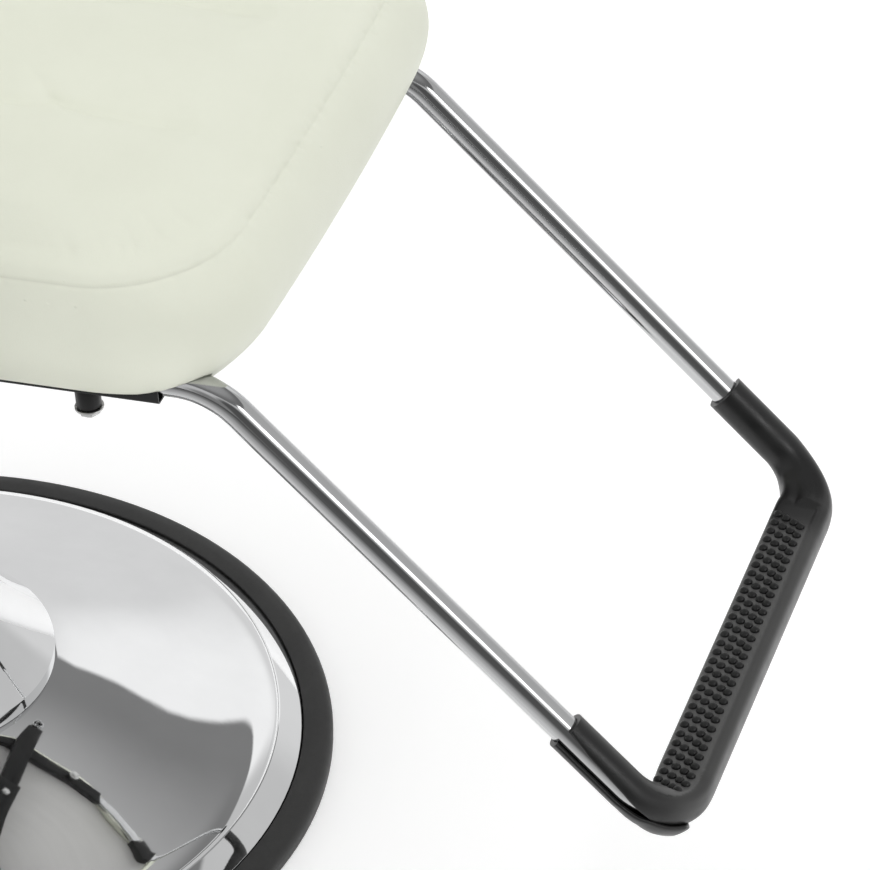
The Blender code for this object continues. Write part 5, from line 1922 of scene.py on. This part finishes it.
@dataclass(frozen=True)
class Studio:
    """The pale floor, the soft light and the camera."""

    camera_at: Spot = (-2.6354, -1.2589, 2.4777)
    view: Spot = (0.7569, 0.2473, -0.6049)
    up: Spot = (0.575, 0.1878, 0.7963)
    lens: float = 217.14
    sensor: float = 36.0
    floor_size: float = 60.0
    card_size: float = 50.0
    card_near: float = 0.34
    card_reach: float = 6.0
    card_tones: tuple[Flat, ...] = ((0.07, 0.90), (0.13, 0.61), (0.28, 0.29), (0.60, 0.13))  # at shares of its reach
    walls: float = 0.74
    patches: tuple[tuple[float, float, float, float, float], ...] = (  # azimuth, height, full, gone (degrees) and tone
        (78, 31, 8, 22, 1.0), (32, 24, 20, 34, 0.60), (-58, 12, 16, 26, 0.12), (-88, 8, 6, 18, 0.30),
        (0, 90, 51.7, 53.1, 0.22), (0, 90, 25, 47, 0.44), (-19, 33, 5, 9.5, 5.6))
    lamps: tuple[tuple[str, float, float, float, float], ...] = (  # azimuth, height, edge and watts
        ("overhead_lamp", 0, 90, 5.0, 94.0), ("key_lamp", -19, 35, 1.6, 1.2), ("fill_lamp", -75, 20, 1.6, 5.0))
    lamp_distance: float = 4.0
    far_clip: float = 200.0

    def build(self) -> None:
        """Sets up the floor, the surroundings and the camera."""
        self.floor()
        self.card()
        self.surroundings()
        for lamp in self.lamps:
            self.lamp(*lamp)
        self.camera()
        settings = bpy.context.scene.view_settings
        settings.view_transform = 'Standard'
        settings.look = 'None'

    @staticmethod
    def sheet(size: float, place: Spot, graph: Graph) -> Piece:
        """A level square of the studio.

        Args:
            size: its edge.
            place: its middle.
            graph: its material, which has its name.

        Returns:
            The piece.
        """
        Bench.clear()
        bpy.ops.mesh.primitive_plane_add(size=size, location=place)
        piece = Bench.settle(Bench.named(graph.material.name))
        piece.data.materials.append(graph.material)
        return piece

    def floor(self) -> None:
        """A large pale floor."""
        graph = Graph("studio_floor")
        graph.into("Base Color", graph.tones(graph.noise(0.8, 2.0), [(0.4, grey(0.80)), (0.6, grey(0.82))]))
        graph.fixed(roughness=0.85, specular_ior_level=0.1, emission_strength=0.38, emission_color=(1, 1, 1, 1))
        self.sheet(self.floor_size, (0, 0, -0.0005), graph)

    def card(self) -> None:
        """A grey card on the floor to the sitter's right, darker farther off, that shows only in reflections."""
        graph = Graph("studio_card")
        away = graph.stretched((-3 / self.card_reach, 0, 0))  # read as a value, this is the mean of its three parts
        graph.into("Emission Color", graph.tones(away, [(place, grey(tone)) for place, tone in self.card_tones]))
        graph.fixed(roughness=1.0, specular_ior_level=0.0, emission_strength=1.0, base_color=(0, 0, 0, 1))
        card = self.sheet(self.card_size, (-self.card_near - self.card_size / 2, 0, -0.0002), graph)
        card.visible_camera = card.visible_diffuse = card.visible_transmission = card.visible_shadow = False

    def surroundings(self) -> None:
        """A pale studio under a grey ceiling, with a dark side behind the camera and a bright panel."""
        world = bpy.data.worlds.new("studio")
        bpy.context.scene.world = world
        world.use_nodes = True
        tree = world.node_tree
        way = add_node(tree, "TexCoord", "Generated", {}, {})
        light = add_node(tree, "RGB", "Color", {}, {})
        light.default_value = (*grey(self.walls), 1)
        for azimuth, height, full, gone, tone in self.patches:
            near = add_node(tree, "VectorMath", "Value", {0: way}, {1: heading(azimuth, height)},
                            operation='DOT_PRODUCT')
            share = add_node(tree, "MapRange", "Result", {"Value": near},
                             {"From Min": math.cos(math.radians(gone)), "From Max": math.cos(math.radians(full))},
                             interpolation_type='SMOOTHSTEP')
            light = add_node(tree, "Mix", "Result", {"Factor": share, "A": light}, {"B": (*grey(tone), 1)},
                             data_type='RGBA')
        tree.links.new(light, tree.nodes["Background"].inputs["Color"])

    def lamp(self, name: str, azimuth: float, height: float, size: float, power: float) -> None:
        """A soft square lamp that shows in no reflection.

        Args:
            name: the lamp's name.
            azimuth: where it stands round the chair, in degrees from -Y towards +X.
            height: how high it stands, in degrees.
            size: its edge.
            power: in watts.
        """
        spot = heading(azimuth, height)
        Bench.clear()
        bpy.ops.object.light_add(type='AREA', location=spot * self.lamp_distance,
                                 rotation=spot.to_track_quat('Z', 'Y').to_euler())
        lamp = bpy.context.active_object
        lamp.name = name
        lamp.data.size = size
        lamp.data.energy = power
        lamp.visible_glossy = False
        lamp.visible_camera = False

    def camera(self) -> None:
        """The camera at the photograph's viewing angle."""
        data = bpy.data.cameras.new("camera")
        data.lens = self.lens
        data.sensor_width = self.sensor
        data.clip_end = self.far_clip
        camera = Bench.linked("camera", data)
        back, up = -Vector(self.view).normalized(), Vector(self.up).normalized()
        right = up.cross(back).normalized()
        turn = Matrix((right, back.cross(right), back)).transposed()
        camera.matrix_world = Matrix.Translation(self.camera_at) @ turn.to_4x4()
        bpy.context.scene.camera = camera


def dress_nodes(nodes: dict[str, Piece]) -> None:
    """Gives the CAD nodes that keep their own shape their finishes.

    Args:
        nodes: the CAD nodes.
    """
    kept = {
        Finishes.STEEL: ["base_plate", "pump_plunger", "piston_head"],
        Finishes.ZINC: ["flange_bolt_1", "flange_bolt_2", "flange_bolt_3", "flange_bolt_4", "pedal_pivot_pin"],
        Finishes.IRON: ["pump_block"],
        Finishes.BRONZE: ["guide_bush", "thrust_washer"],
        Finishes.RUBBER: ["piston_seal"],
    }
    for finish, names in kept.items():
        for name in names:
            nodes[name].material_slots[0].material = finish.material()
            log.info("%s: CAD shape, %s", name, finish.name)


def main() -> None:
    """Builds the chair's looks around its frame, and the studio."""
    logging.basicConfig(level=logging.INFO, format="%(name)s: %(message)s")
    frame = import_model()
    nodes = frame["nodes"]
    Studio().build()
    dress_nodes(nodes)
    footrest = Footrest()
    Base().build()
    Pump().build()
    Fasteners().build()
    footrest.build()
    Cover().build()
    SeatFrame().build(nodes)
    Arms().build()
    Upholstery().build(footrest)


if __name__ == "__main__":
    main()
